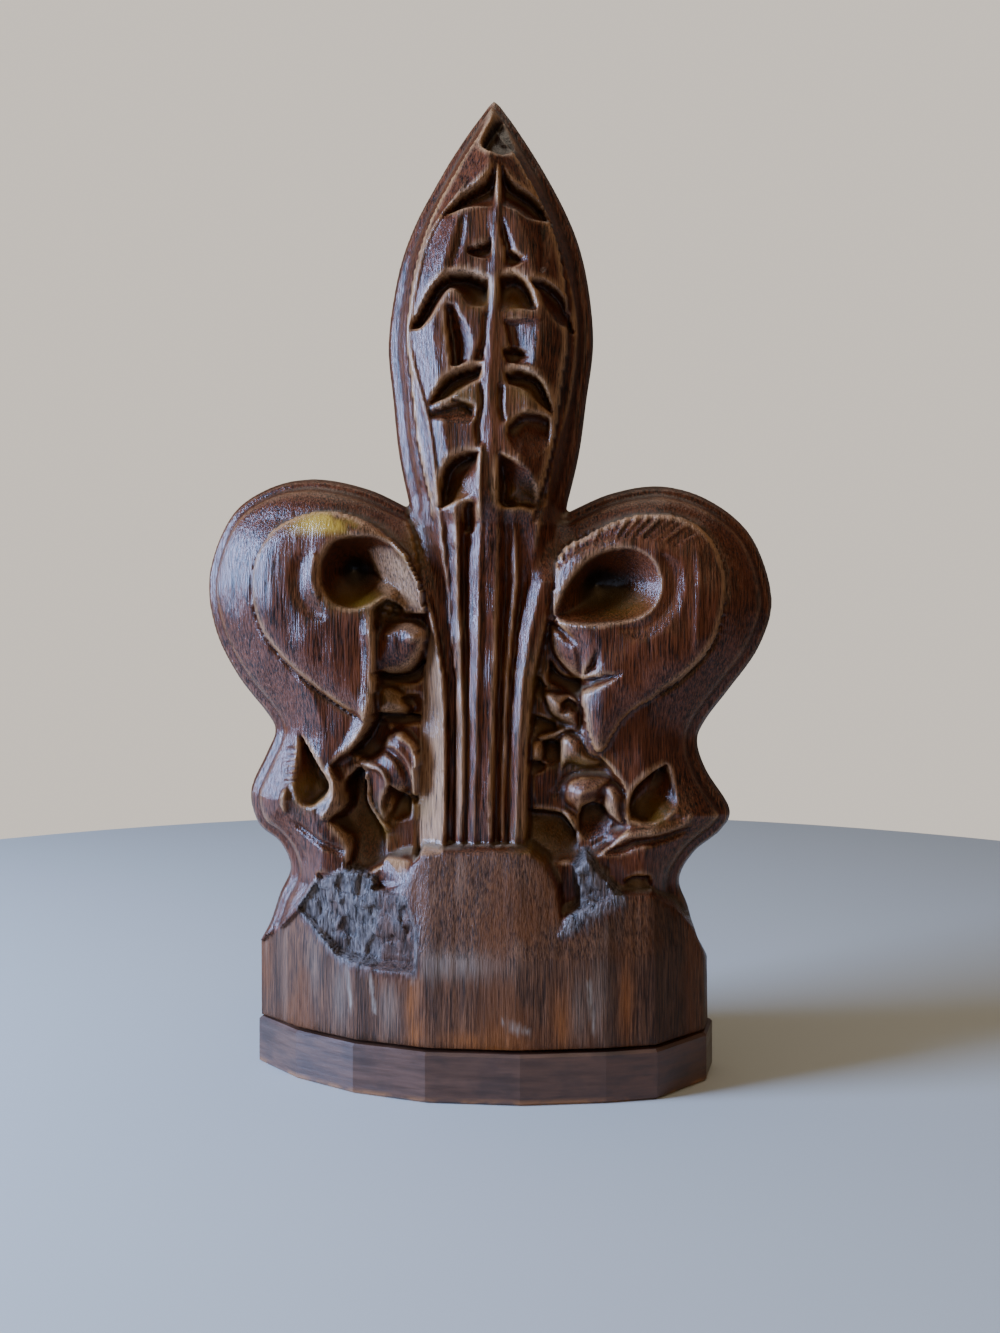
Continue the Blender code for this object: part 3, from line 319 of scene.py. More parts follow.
# Each line: how far across at those heights, and how far forward
STEM_LINES = (
    ((-20.5, -19.5, -18.6, -17.4, -19.6, -23.0, -25.0), (13.5, 13.5, 13.5, 13.5, 13.5, 10, 5)),
    ((-11.4, -10.8, -11.6, -14.4, -18.4, -21.5, -23.0), (21.2, 21.2, 21.2, 20.5, 18.5, 13, 8)),
    ((-10.6, -10.0, -10.7, -13.2, -14.8, -17.5, -22.0), (17, 17, 17, 17.2, 17, 14.5, 9.5)),
    ((-8.6, -8.1, -8.3, -9.8, -11.4, -15.2, -20.5), (17, 17, 17, 17.4, 18, 16.5, 12)),
    ((-8.2, -7.7, -7.9, -9.3, -10.3, -11.5, -12.7), (19.4, 19.4, 19.4, 19.6, 21, 22.2, 23.2)),
    ((-8.0, -7.5, -7.6, -8.7, -9.7, -10.8, -11.9), (19.6, 19.6, 19.6, 19.5, 19.8, 20.8, 22)),
    ((-5.6, -5.3, -5.6, -6.2, -6.9, -6.9, -7.4), (21.4, 21.4, 21.4, 21.6, 22.2, 23, 24.4)),
    ((-4.9, -4.6, -4.8, -5.2, -5.8, -5.4, -4.4), (16.6, 16.6, 16.6, 16.8, 17.2, 18.6, 22)),
    ((-4.3, -3.9, -3.6, -3.5, -3.6, -3.1, -2.2), (20.2, 20.2, 20.2, 20.4, 20.6, 21.4, 23.5)),
    ((-1.9, -1.1, -0.6, -0.4, -0.1, 0.1, 0.7), (22.3, 22.3, 22.3, 22.5, 23, 24, 25.6)),
    ((-1.2, -0.5, 0.1, 0.3, 0.6, 1.0, 1.5), (21.4, 21.4, 21.4, 21.4, 22.1, 23.3, 25.2)),
    ((3.2, 3.9, 4.5, 4.9, 5.1, 5.3, 5.6), (22.0, 22.0, 22.0, 22.0, 22.4, 23.4, 25.2)),
    ((4.5, 5.0, 5.8, 6.6, 7.8, 7.8, 7.4), (16.4, 16.4, 16.4, 16.6, 17.4, 19.6, 22.6)),
    ((5.2, 5.8, 6.6, 7.7, 9.3, 8.9, 8.0), (19.2, 19.2, 19.2, 19.2, 19.6, 20.8, 22.6)),
    ((7.0, 7.6, 8.4, 9.6, 11.1, 10.7, 9.4), (20.6, 20.6, 20.6, 20.6, 21, 22, 23)),
    ((7.7, 8.4, 9.4, 10.8, 12.8, 12.6, 12.0), (16.4, 16.4, 16.4, 16.6, 17.4, 20, 22.4)),
    ((8.4, 9.1, 10.2, 12.0, 14.8, 17.0, 18.8), (19.4, 19.4, 19.4, 19.4, 18.6, 20.4, 22)),
    ((10.7, 11.7, 12.9, 15.3, 18.6, 19.6, 20.6), (21.4, 21.4, 21.4, 21.6, 21.2, 16, 18)),
    ((13.2, 14.2, 15.8, 19.0, 22.0, 22.6, 23.4), (20, 20, 20, 20.6, 20.8, 15, 9)),
    ((15.0, 16.0, 17.6, 21.0, 24.5, 25.5, 26.0), (11, 11, 11, 15, 17, 14, 5))
)
RIB = (
    (-0.2, 58), (1.3, 110), (2.5, 146), (3.5, 180), (3.6, 200), (4.4, 222), (5.2, 239), (5.6, 267)
)
RIB_WIDTH = 5.0
RIB_ON_SPEAR = 0.5
# Small strands at the stem's top: the line, the width on its left and right, and the height
STRANDS = (
    (((0.2, 158), (0.5, 170), (0.9, 182)), 2.0, 0.8, 2.0),
    (((-6.8, 150), (-7.0, 158), (-7.6, 163)), 3.0, 1.0, 1.0)
)
SHOULDER = (158, 168)
MARGIN_FOOT = 8.0
MARGIN_RISE = 9
SPEAR_CROWN = 6.0


def moulded_stem(at):
    """Height of the stem: its reeds are one moulding, run along guide lines that spread as they climb."""
    lines = [np.interp(at[:, 1], STEM_HEIGHTS, line) for line, _ in STEM_LINES]
    levels = [np.interp(at[:, 1], STEM_HEIGHTS, np.broadcast_to(level, len(STEM_HEIGHTS)))
              for _, level in STEM_LINES]
    height = levels[0]
    for left, right, low, top in zip(lines, lines[1:], levels, levels[1:]):
        share = np.clip((at[:, 0] - left) / np.maximum(right - left, 0.01), 0, 1)
        height = np.where(at[:, 0] > left, low + (top - low) * share, height)
    return height


def shaft_distance(at):
    """How far inside the shaft, the spear and stem in one, each point is."""
    tip = (axis_at(SPEAR_TIP), SPEAR_TIP)
    sides = np.array(list(RIGHT_STEM_EDGE[::-1]) + smooth_run(spear_side(1)).tolist() + [tip]
                     + smooth_run(spear_side(-1)).tolist()[::-1] + list(LEFT_STEM_EDGE))
    gap, _ = distance_to(sides, at)
    return np.where(inside(sides, at), gap, -gap)


def raise_shaft(relief, inward):
    """The shaft's ground: the spear's crowned field above, and the moulded stem below it."""
    up = relief.at[:, 1]
    spear = np.clip((up - SHOULDER[0]) / (SHOULDER[1] - SHOULDER[0]), 0, 1)
    field = BAND_TOPS[-1] + SPEAR_CROWN * np.clip((inward - MARGIN_FOOT) / MARGIN_RISE, 0, 1) ** 0.8
    tall = np.maximum(edge_height(inward, up), np.where(inward > MARGIN_FOOT, field, 0))
    ground = moulded_stem(relief.at) * (1 - spear) + tall * spear
    relief.high = np.where(inward > 0, ground, relief.high)


def carve_stem(relief):
    """The reeds of the stem, and the rib that runs on up the spear."""
    relief.ridge(RIB[2:], RIB_WIDTH, RIB_ON_SPEAR, ends=(0.2, 0.06))
    for points, left, right, height in STRANDS:
        relief.strand(points, left, right, height)


print(len(STEM_LINES), "guide lines for the stem")

# %% [markdown]
# The spear carries tiers of leaves, pair over pair, either side of a thin rib. The real ones were
# cut with a gouge driven in steeply under each tip and brought out in a slope, and that is what
# each scoop does. Every scoop gives its depth, the line of its wall and the line of its lip.

# %% The spear's tiers
SPEAR_SCOOPS = (
    (
        6.0,
        ((6.2, 285.5), (2.8, 280.5), (0.2, 273.8), (2.8, 270.3)),
        ((6.2, 285.5), (8.8, 280), (11, 272.5), (7, 269.6), (2.8, 270.3))
    ),
    (
        6.5,
        ((4.9, 267), (1.5, 262), (-5, 257.5), (-12.2, 251)),
        ((4.9, 252.4), (-1, 252.8), (-7, 251.9), (-12.2, 250.8))
    ),
    (
        6.0,
        ((6.4, 267.5), (10, 261.5), (17, 257.2), (22, 250.3)),
        ((6.4, 253), (11, 251.3), (15, 249.4), (22, 249.8))
    ),
    (4.5, ((3.9, 246.5), (2.2, 242.8), (-3.9, 240.8)), ((3.9, 237.3), (0, 237.2), (-3.9, 238.8))),
    (3.0, ((6.2, 251), (6.4, 245), (8, 239.5)), ((6.8, 251), (9, 246), (11, 240))),
    (4.0, ((7.6, 240.8), (11, 239.3), (14.2, 237)), ((7.6, 234.3), (10.5, 234.3), (14.2, 236.4))),
    (
        7.5,
        ((2.6, 231.8), (-5, 233.8), (-13, 231.2), (-21.4, 218.3)),
        (
            (2.6, 222.3), (-3.5, 223), (-6.3, 226.6), (-9.2, 227.8), (-14, 220.6), (-18, 217),
            (-21.4, 217.4)
        )
    ),
    (
        6.0,
        ((6, 232.5), (11, 233), (15, 229.5), (17.6, 222)),
        ((6, 220.5), (11.5, 221.6), (17.6, 221.3))
    ),
    (
        6.0,
        ((15.4, 231.3), (20, 231), (25.5, 227.2), (28.9, 218)),
        ((17, 227.5), (19, 223), (23.5, 217.8), (28.9, 216.8))
    ),
    (4.5, ((-10.6, 223.5), (-9.8, 214), (-8.6, 204.8)), ((-7.5, 224.5), (-2.2, 214), (-3, 206))),
    (3.0, ((2.7, 221), (2.4, 214), (1.2, 206.5)), ((0.6, 221), (0.2, 214), (-2.4, 206.5))),
    (2.0, ((7.0, 219), (8.5, 212), (8.5, 206)), ((20.5, 219), (18.4, 212), (17.8, 204))),
    (3.5, ((7, 210.5), (11, 211), (15, 208.5)), ((8, 204.6), (11.5, 206.2), (15, 207.6))),
    (
        7.0,
        ((0.6, 205.5), (-5, 204.4), (-11, 201.3), (-15.5, 194)),
        ((0.3, 200.6), (-3.5, 198.6), (-9, 195.2), (-15.5, 193.4))
    ),
    (
        3.0,
        ((-1.2, 193.4), (-5, 194.6), (-10, 193.2), (-15, 191.6)),
        ((-2, 187.4), (-8, 187.6), (-15, 189.4))
    ),
    (
        6.5,
        ((8, 203.2), (13, 203.8), (19, 200.8), (22.6, 191)),
        ((8.3, 199.2), (13, 197.2), (18, 193), (22.6, 190.4))
    ),
    (
        5.0,
        ((8.6, 187.4), (12, 190.6), (17, 191.4), (21.3, 190)),
        ((8, 183.5), (11, 178.6), (16, 177), (21.5, 181))
    ),
    (
        8.5,
        ((0.3, 179.6), (-6.5, 178.6), (-11.5, 174), (-12.8, 162.3)),
        ((0.2, 178.5), (-1, 171), (-2.4, 165.8), (-12.8, 161.8))
    ),
    (
        7.5,
        ((5.6, 179), (5.5, 171), (6, 163.4), (12, 162.6)),
        ((5.6, 179), (12, 176.2), (16.5, 171.5), (19, 161.8), (12, 162.6))
    ),
    (4.0, ((-1.2, 164.6), (-4.8, 163.2), (-5.0, 155.4)), ((-0.8, 164), (-0.9, 158), (-1.6, 154.6)))
)
SCOOPS_DEEPER = 1.2
# Grooves: the line, its width and its depth
SPEAR_GROOVES = (
    (((-4.8, 251), (-6, 243), (-9, 234.5)), 2.5, 1.0),
    (((0.4, 200), (0.6, 193), (-0.4, 187), (0, 180)), 1.8, 2.4),
    (((6.6, 200), (6.4, 193), (7.4, 187.5)), 1.6, 2.2),
    (((18.2, 249), (19.4, 240), (18.6, 233)), 3.0, 1.4),
    (((2.6, 232), (2.9, 226), (2.6, 219)), 1.2, 1.0),
    (((-8.6, 195), (-4.6, 193.4), (-1.6, 189.5)), 1.6, 1.8)
)
MARGIN_ARRIS = (
    (
        (-12.7, 163), (-14.4, 178), (-16.2, 190), (-21.4, 210), (-21.6, 221), (-16, 244.5),
        (-6.4, 258), (-1.5, 266)
    ),
    ((19.6, 163), (22.4, 178), (28.2, 203), (29, 219), (27.6, 231), (21.6, 251), (12.5, 268))
)
ARRIS_WIDTH = 2.2
ARRIS_HEIGHT = 1.3


def carve_spear(relief):
    """The spear's raised arris along its margin, its grooves and its tiers of scooped cuts."""
    for line in MARGIN_ARRIS:
        relief.ridge(line, ARRIS_WIDTH, ARRIS_HEIGHT, ends=(0.02, 0.2))
    for line, width, depth in SPEAR_GROOVES:
        relief.gouge(line, width, depth)
    for depth, wall, lip in SPEAR_SCOOPS:
        relief.scoop(wall, lip, depth * SCOOPS_DEEPER)


print(len(SPEAR_SCOOPS), "scoops and", len(SPEAR_GROOVES), "grooves on the spear")

# %% [markdown]
# Each lobe is a leaf that curls over: a raised mound, a deep eye where it curls, and a drop-shaped
# hollow below. The left eye has a broad flat slope on its right that catches the window's light, so
# it is cut as a plane. The two lobes are drawn apart, because hand carving never matches.

# %% The lobes, their eyes and their drops
LEFT_MOUND = (
    (-27, 152.5), (-37.5, 160), (-50, 162), (-62, 158), (-69.5, 149), (-71.3, 138), (-69, 126.5),
    (-62, 116.5), (-52, 107.5), (-42, 100.5), (-34.5, 97.5), (-32.6, 108), (-32.2, 122), (-27, 134),
    (-22, 146)
)
RIGHT_MOUND = (
    (24, 148), (33, 154.5), (42, 158.8), (52, 160.8), (63, 159), (70.5, 153), (74.6, 143),
    (74.5, 133), (71, 121), (63, 111.5), (53, 104.5), (44, 98.5), (36.5, 87.5), (32, 97), (31, 108),
    (30, 120), (22.5, 130)
)
MOUND_LEVEL = 21.8
MOUND_CROWN = 3.2
MOUND_WALL = 3.6
MOUND_LINE_WIDTH = 2.4
MOUND_LINE_DEPTH = 1.6
LEFT_EYE = (
    (-49.3, 140), (-49, 147), (-45, 152.8), (-38, 154.4), (-31, 154), (-25.6, 151), (-21.3, 145.5),
    (-18, 137.5), (-16.4, 130.4), (-21.6, 131.4), (-28, 134.6), (-34, 132.6), (-40, 131.4),
    (-46, 133.8)
)
LEFT_EYE_MIDDLE = (-41, 144.5)
RIGHT_EYE = (
    (22.2, 128.4), (24, 134.4), (27.6, 141), (33, 146.8), (40, 149.8), (47, 149.8), (52.6, 146),
    (55, 139.5), (53, 132.4), (47.6, 128.4), (40, 127), (31, 126.6)
)
RIGHT_EYE_MIDDLE = (36, 139.5)
EYE_DEPTH = 17.0
EYE_SLOPE = (
    (-37, 151), (-32, 152.6), (-26.4, 151), (-21.6, 145.5), (-18.6, 139), (-17.2, 133),
    (-17, 130.4), (-24, 130.6), (-30, 134.6), (-36, 140)
)
# The slope's upper right corner: across, up and forward; then how it falls away from there
EYE_SLOPE_TOP = (-17, 131, 21.0)
EYE_SLOPE_FALL = (0.9, 0.44, 0.62)
EYE_SLOPE_BEND = 8
EYE_SLOPE_STEEPER = 1.6
LEFT_DROP = (
    ((-57.4, 93), (-54, 88), (-50, 82), (-47.3, 77), (-49.2, 72.4)),
    ((-57.4, 93), (-58.8, 84), (-59.4, 77), (-57, 71), (-53, 69.8), (-49.2, 72.4))
)
RIGHT_DROP = (
    ((57.6, 84), (52, 81), (47, 76.5), (45.4, 71), (46, 67)),
    ((57.6, 84), (59.6, 78), (60.6, 71.5), (57, 67.2), (51, 65.3), (46, 67))
)
DROP_DEPTH = 11.0
DROP_DEEPEST = 0.4
LEFT_RECESS = (
    (-16, 129), (-24, 130.8), (-32.8, 131), (-32.2, 120), (-32, 108), (-34, 98), (-39, 90),
    (-44, 86), (-47, 82.4), (-44.8, 77), (-43.6, 70), (-46, 65.5), (-43, 61), (-41, 56.5),
    (-41.5, 51), (-36, 49.8), (-30, 52.4), (-24, 55), (-15, 57.4), (-15, 70), (-15, 90), (-15, 110)
)
RIGHT_RECESS = (
    (15, 122), (19, 128.4), (24, 126), (31, 110), (37, 110.4), (31, 105), (32.4, 99), (31.3, 93),
    (33.5, 87.5), (37.5, 85.6), (41, 81.5), (44.5, 76), (43.6, 69), (45, 64), (38, 57.5),
    (30, 54.4), (13, 55.5), (13, 70), (13.2, 90), (13.6, 105)
)
RECESS_DEPTH = 4.5
RECESS_WALL = 2.6


def slope_eye(relief):
    """The flat slope that runs from the left eye's floor up to its right-hand rim."""
    slope = inside(np.array(EYE_SLOPE), relief.at)
    across, up, high = EYE_SLOPE_TOP
    right, above, fall = EYE_SLOPE_FALL
    past = (relief.at[slope, 0] - across) * right + (relief.at[slope, 1] - up) * above
    plane = high + fall * past + EYE_SLOPE_STEEPER * np.minimum(past + EYE_SLOPE_BEND, 0)
    relief.high[slope] = np.maximum(relief.high[slope], plane)


def carve_lobe(relief, side):
    """One lobe: the mound of its inner leaf, its recess, its eye and its drop-shaped hollow."""
    points = LEFT_MOUND if side < 0 else RIGHT_MOUND
    mound = loop_through(points)
    gap, _ = distance_to(mound, relief.at, closed=True)
    within = inside(mound, relief.at)
    swell = MOUND_LEVEL + MOUND_CROWN * (1 - np.exp(-gap / MOUND_WALL))
    relief.high = np.where(within, swell, relief.high)
    relief.gouge(points[3:11], MOUND_LINE_WIDTH, MOUND_LINE_DEPTH, ends=(0.6, 0.05))
    relief.pocket(LEFT_RECESS if side < 0 else RIGHT_RECESS, RECESS_DEPTH, RECESS_WALL)
    if side < 0:
        relief.bowl(LEFT_EYE, LEFT_EYE_MIDDLE, EYE_DEPTH)
        slope_eye(relief)
    else:
        relief.bowl(RIGHT_EYE, RIGHT_EYE_MIDDLE, EYE_DEPTH)
    relief.scoop(*(LEFT_DROP if side < 0 else RIGHT_DROP), DROP_DEPTH, DROP_DEEPEST)


print("mounds of", len(LEFT_MOUND), "and", len(RIGHT_MOUND), "points")

# %% [markdown]
# Small cuts finish the lobes: grooves that follow the eyes, ridges round the hollows, and a row of
# chisel ticks on the band over the right eye. The ticks are spaced by sharing out two lines.

# %% Small cuts on the lobes
LOBE_SCOOPS = (
    (6.0, ((-33, 132), (-29, 135), (-24.5, 132.6)), ((-32.5, 127), (-28, 128.2), (-23.5, 130.2))),
    (
        6.0,
        ((21, 117), (25, 111.8), (30, 110.6), (43, 112.2)),
        ((20, 108.5), (25, 106.4), (31, 105), (43, 111.2))
    ),
    (4.0, ((35.4, 119.6), (33.4, 115), (30.8, 110.8)), ((36.4, 118.4), (36.4, 114), (33.5, 111.2))),
    (3.0, ((-51.5, 49.5), (-50, 44.5), (-46.5, 42.8)), ((-49, 50.5), (-45, 49.5), (-44.6, 44.5))),
    (4.0, ((44, 48.5), (47.5, 50.2), (52, 50)), ((44, 46), (49, 43.6), (53, 43)))
)
LOBE_GROOVES = (
    (((55, 148.5), (58.5, 141), (57.5, 133), (51, 126.3), (42, 125.2)), 7.0, 1.0),
    (((-54, 149), (-56, 141), (-54, 133.5), (-47, 128.5)), 6.0, 1.0),
    (((38, 56.6), (44, 58.2), (48, 60), (56, 61), (65, 63.8)), 3.0, 2.4),
    (((-60, 65.5), (-54, 61.5), (-47, 57.6), (-42, 56)), 2.6, 1.6),
    (((-62, 62), (-58, 57), (-55.5, 51)), 2.0, 0.9)
)
LOBE_RIDGES = (
    (((-16.6, 130.5), (-18.4, 138), (-21.8, 146), (-27, 152)), 3.0, 1.6),
    (((-47.2, 83), (-45.6, 77), (-46.4, 71.5), (-50, 66)), 5.0, 2.6),
    (((-50.6, 149), (-51.4, 141), (-49.6, 134.5)), 3.2, 1.0),
    (((-40, 83.4), (-36.4, 79), (-35.2, 72), (-31.6, 66), (-28, 62)), 3.0, 3.0),
    (((17, 91.4), (22, 92.6), (27.6, 94.8), (30.6, 93.4)), 2.6, 3.0),
    (((65.5, 69), (62, 65.2), (54, 63.2), (46, 62.4), (38, 61)), 4.5, 1.8)
)
LOBE_STRANDS = (
    (((-33.4, 131), (-32.8, 118), (-32.6, 108), (-34.4, 100), (-38, 92), (-44, 84)), 4.0, 0.9, 2.6),
    (((66, 152), (66.6, 140), (65.8, 117)), 2.0, 0.8, 0.7)
)
TICK_INNER = ((21, 140), (27, 146.5), (33, 150), (41, 152.3), (50, 152.5), (58, 150.5))
TICK_OUTER = ((18, 146), (27, 152.4), (36, 156.8), (46, 159.8), (58, 159.2), (66, 155.5))
TICKS = 19
TICK_WIDTH = 2.0
TICK_DEPTH = 1.8
TICK_FADES = 0.6
DROP_TICKS = 6
DROP_TICK_LOW = 77.5
DROP_TICK_SPACING = 1.9
DROP_TICK_ACROSS = (-62.4, -60.4, -58.2)
DROP_TICK_RISE = (0, 0.3, 0.8)
TICK_ENDS = (0.2, 0.2)
TICK_SHAPE = 0.6


def cut_ticks(relief):
    """The row of chisel cuts across the band round the right eye, and the few by the left drop."""
    inner = smooth_run(TICK_INNER, 12)
    outer = smooth_run(TICK_OUTER, 12)
    for tick in range(TICKS):
        share = tick / (TICKS - 1) * (len(inner) - 1)
        foot, head = inner[round(share)], outer[round(share)]
        depth = TICK_DEPTH * (1 - TICK_FADES * tick / TICKS)
        relief.gouge((foot, (foot + head) / 2, head), TICK_WIDTH, depth, TICK_SHAPE, TICK_ENDS)
    for tick in range(DROP_TICKS):
        up = DROP_TICK_LOW + DROP_TICK_SPACING * tick
        line = [(across, up + rise) for across, rise in zip(DROP_TICK_ACROSS, DROP_TICK_RISE)]
        relief.gouge(line, 1.5, 1.0, TICK_SHAPE, TICK_ENDS)


print(TICKS + DROP_TICKS, "ticks")

# %% [markdown]
# Small leaves stand in the recess on each side of the stem. Each is left at a level inside its own
# loop, crowned and tilted, then parted from the next by scoops, as a carver would part them.

# %% Leaves in the recesses
# Leaves: the loop, its level, its crown, the width of its wall, and its tilt across and up
LEFT_LEAVES = (
    (
        (
            (-36, 127), (-29, 128), (-22, 128.4), (-15.6, 124.4), (-17.4, 119), (-20.4, 114.2),
            (-25, 111.6), (-36, 111)
        ),
        17,
        7,
        4.0,
        (0.3, 0.0)
    ),
    (
        ((-32, 107.6), (-27, 107.6), (-23.4, 104.6), (-21, 101), (-24, 98.8), (-32, 99.4)),
        16,
        6,
        3,
        (-0.15, 0)
    ),
    (
        (
            (-39.6, 84), (-34, 86.8), (-30, 92.4), (-25, 94.6), (-20.4, 91), (-18, 84), (-17.4, 77),
            (-19.6, 72.4), (-24, 74.6), (-27, 70), (-30, 64), (-33, 67), (-35.4, 72), (-36.2, 79)
        ),
        15.5,
        4,
        2.5,
        (0.16, 0)
    )
)
RIGHT_LEAVES = (
    (
        (
            (21.2, 127), (28, 125.6), (36.4, 127.6), (35.6, 121), (32.6, 113.4), (30.2, 110.4),
            (25.6, 113), (21.6, 119)
        ),
        17,
        6,
        3.5,
        (0.1, 0)
    ),
    (
        (
            (19.2, 105.8), (24, 106.2), (30.4, 104.4), (31.2, 98), (30.6, 93.6), (26, 95.6),
            (20.6, 99.6)
        ),
        15,
        6,
        2.5,
        (-0.1, 0)
    ),
    (((14.4, 90.4), (18.6, 91.2), (20.6, 88), (19, 84.6), (14.8, 84.4)), 15, 5, 2, (-0.2, 0)),
    (
        ((24.4, 92.4), (30.6, 92.6), (34, 88), (38, 84.6), (34, 82.4), (27, 83.4), (24.4, 81)),
        16,
        5,
        3,
        (0, 0.1)
    ),
    (
        (
            (25.6, 72), (26, 77.6), (30, 80.4), (36, 80.6), (40.4, 79.4), (38.4, 74), (34.6, 71),
            (30.6, 68.4)
        ),
        15,
        8,
        4,
        (0, 0.1)
    ),
    (
        ((37.4, 77), (41, 78), (44.4, 74), (44, 68), (44.6, 64.4), (40.6, 66.6), (37.6, 70.8)),
        17,
        6,
        3,
        (0, 0)
    ),
    (
        ((25, 70), (29, 69), (31.2, 65.8), (30.4, 61.6), (27.4, 62.6), (24.6, 66.4)),
        13,
        6,
        2.4,
        (-0.1, 0)
    ),
    (((13.6, 80), (16.4, 80), (17.2, 75), (16.4, 71.4), (13.8, 72)), 14, 5, 2, (-0.3, 0))
)
LEAF_SCOOPS = (
    (5.0, ((24.6, 103), (27, 104.4), (30, 102.4)), ((23.8, 99), (26.4, 98.6), (30, 99.6))),
    (
        8.0,
        ((-15.6, 122), (-19.6, 115.5), (-24.5, 112), (-33, 112.6)),
        ((-16.6, 112), (-20, 108.4), (-25, 107.8), (-33, 109.4))
    ),
    (6.0, ((-26, 104.6), (-24, 101), (-24.4, 97.6)), ((-19, 105.4), (-17.6, 101.5), (-19, 97.4))),
    (7.0, ((-33.4, 99.8), (-27, 99.4), (-19, 98.8)), ((-33.4, 95.6), (-26, 94.8), (-19, 95.6))),
    (6.5, ((-20.8, 88), (-17, 89.2), (-13.6, 91)), ((-19.6, 85), (-17, 84.8), (-13.8, 86.6))),
    (5.5, ((-19, 86), (-17.8, 80), (-18, 73.6)), ((-15, 86), (-14.4, 80), (-14.6, 74))),
    (5.5, ((-23, 73.4), (-18, 73.8), (-14.4, 74.6)), ((-21, 70), (-18, 70.6), (-14.4, 71.4))),
    (
        7.0,
        ((-33.4, 98), (-37, 92.5), (-42, 86.4)),
        ((-28.4, 96), (-29, 91), (-29, 86.6), (-34, 83.8))
    ),
    (7.0, ((-28.6, 77.6), (-26, 75.4), (-22.4, 73)), ((-31.6, 70), (-28, 65), (-22, 66))),
    (7.0, ((19, 91), (22, 91.4), (24.8, 90.4)), ((18.4, 84), (21.5, 82), (24.8, 84.6))),
    (5.0, ((13.6, 84.6), (17, 84.8), (20, 83.6)), ((13.6, 80.6), (17, 80), (20, 81.4))),
    (8.0, ((31, 71), (34.5, 72), (37.8, 70.8)), ((29.4, 62), (33, 59.4), (38, 62), (40.6, 66))),
    (
        7.0,
        ((13.2, 69.8), (20, 69.4), (26, 67.8), (29.8, 62)),
        ((13.2, 55.6), (20, 55), (28, 55.2), (30, 58))
    ),
    (
        4.0,
        ((22, 73.6), (24.8, 79), (29, 81.6), (40, 82.4)),
        ((23, 72.4), (26, 77.6), (30.4, 80.4), (40, 81))
    ),
    (5.0, ((14, 99), (18, 98.6), (23, 96.6)), ((14, 92.6), (18, 92), (24, 93.4))),
    (5.0, ((13.6, 117), (16.6, 113), (20, 108)), ((13.4, 108), (16, 105), (19, 103)))
)
LEAF_RIDGES = (
    (((-26.6, 93), (-21.6, 89.6), (-19.2, 83), (-19.4, 74)), 3.8, 2.2),
    (((-30, 88.5), (-25.6, 85), (-22.8, 79), (-22.4, 74)), 3.6, -2.2),
    (((-37, 83.4), (-31, 81.4), (-28.4, 75), (-28.6, 67)), 2.6, 1.6),
    (((-30, 123), (-24, 125.4), (-19, 122)), 8.0, 1.6)
)
LEFT_CAVITY = (
    (-38, 82.6), (-43, 78), (-43, 70.6), (-47.4, 66.2), (-43.6, 62.4), (-40.6, 59.6), (-40.8, 53),
    (-36, 50.4), (-31, 52.4), (-30, 60), (-32.6, 66.2), (-35.6, 71), (-36.2, 78)
)
CAVITY_DEPTH = 7.0
CAVITY_WALL = 3.0
CAVITY_TILT = 0.45
BEAD_SWELL = (16, 4.5, 1.6)
BEAD = ((-64, 73.4), (-62, 76.4), (-59.6, 74.4), (-59.9, 69.2), (-61.8, 67.2), (-63.8, 69.6))
print(len(LEFT_LEAVES) + len(RIGHT_LEAVES), "small leaves")

# %% [markdown]
# Wood that was cut by hand is never even. Low waves run along the grain, gouge marks cross it, and
# the sawn block has shallow splits. Where the wood broke away, chips with hard edges come from
# Voronoi cells instead. Their tilt comes from a noise vector, the one kind of noise here that
# follows a random seed, so that seed is set, and the break is the same on every run.

# %% Hand work, splits and breaks
TOOL_MARKS = 0.45
FIBRE_WAVES = 0.10
SPLINTER_DEPTH = 0.35
CHIP_SIZE = (4.2, 5.0)
TORN_CHIPS = 1.7
CHIP_SEED = 7
noise.seed_set(CHIP_SEED)


def hand_made(at, seed):
    """The small unevenness of hand work: long waves along the grain, and the marks of the gouge."""
    return np.array([TOOL_MARKS * noise.noise(Vector((across / 6, up / 11, seed)))
                     + FIBRE_WAVES * noise.noise(Vector((across / 0.9, up / 13, seed)))
                     for across, up in at])


def splintered(at, seed):
    """Split oak: long shallow steps that run up the grain."""
    return np.array([SPLINTER_DEPTH * (noise.noise(Vector((across / 2.2, up / 45, seed)))
                     + 0.5 * noise.noise(Vector((across / 0.8, up / 25, seed)))) for across, up in at])


def torn(at, strength):
    """Broken wood: chips with hard edges, each with its own height and tilt."""
    rough = []
    for across, up in at:
        spot = Vector((across / CHIP_SIZE[0], up / CHIP_SIZE[1], 3.7))
        chip = noise.voronoi(spot)[1][0]
        tilt = noise.noise_vector(chip * 3.1)
        rough.append(noise.noise(chip * 2.3) + 0.9 * tilt.dot(spot - chip) + noise.noise(spot / 3)
                     + 0.2 * noise.noise(Vector((spot.x * 4, spot.y * 1.6, 5.1))))
    return np.array(rough) * strength


print("gouge marks", TOOL_MARKS, "steps deep, chips", TORN_CHIPS)

# %% [markdown]
# Below the carving the block was left rough. Its faceted plan comes forward to a ledge where the
# carving begins, and it leans back a little towards the top. A patch is torn out on the left, with
# one clean chisel facet beside it, and a spike of broken wood stands on the right.

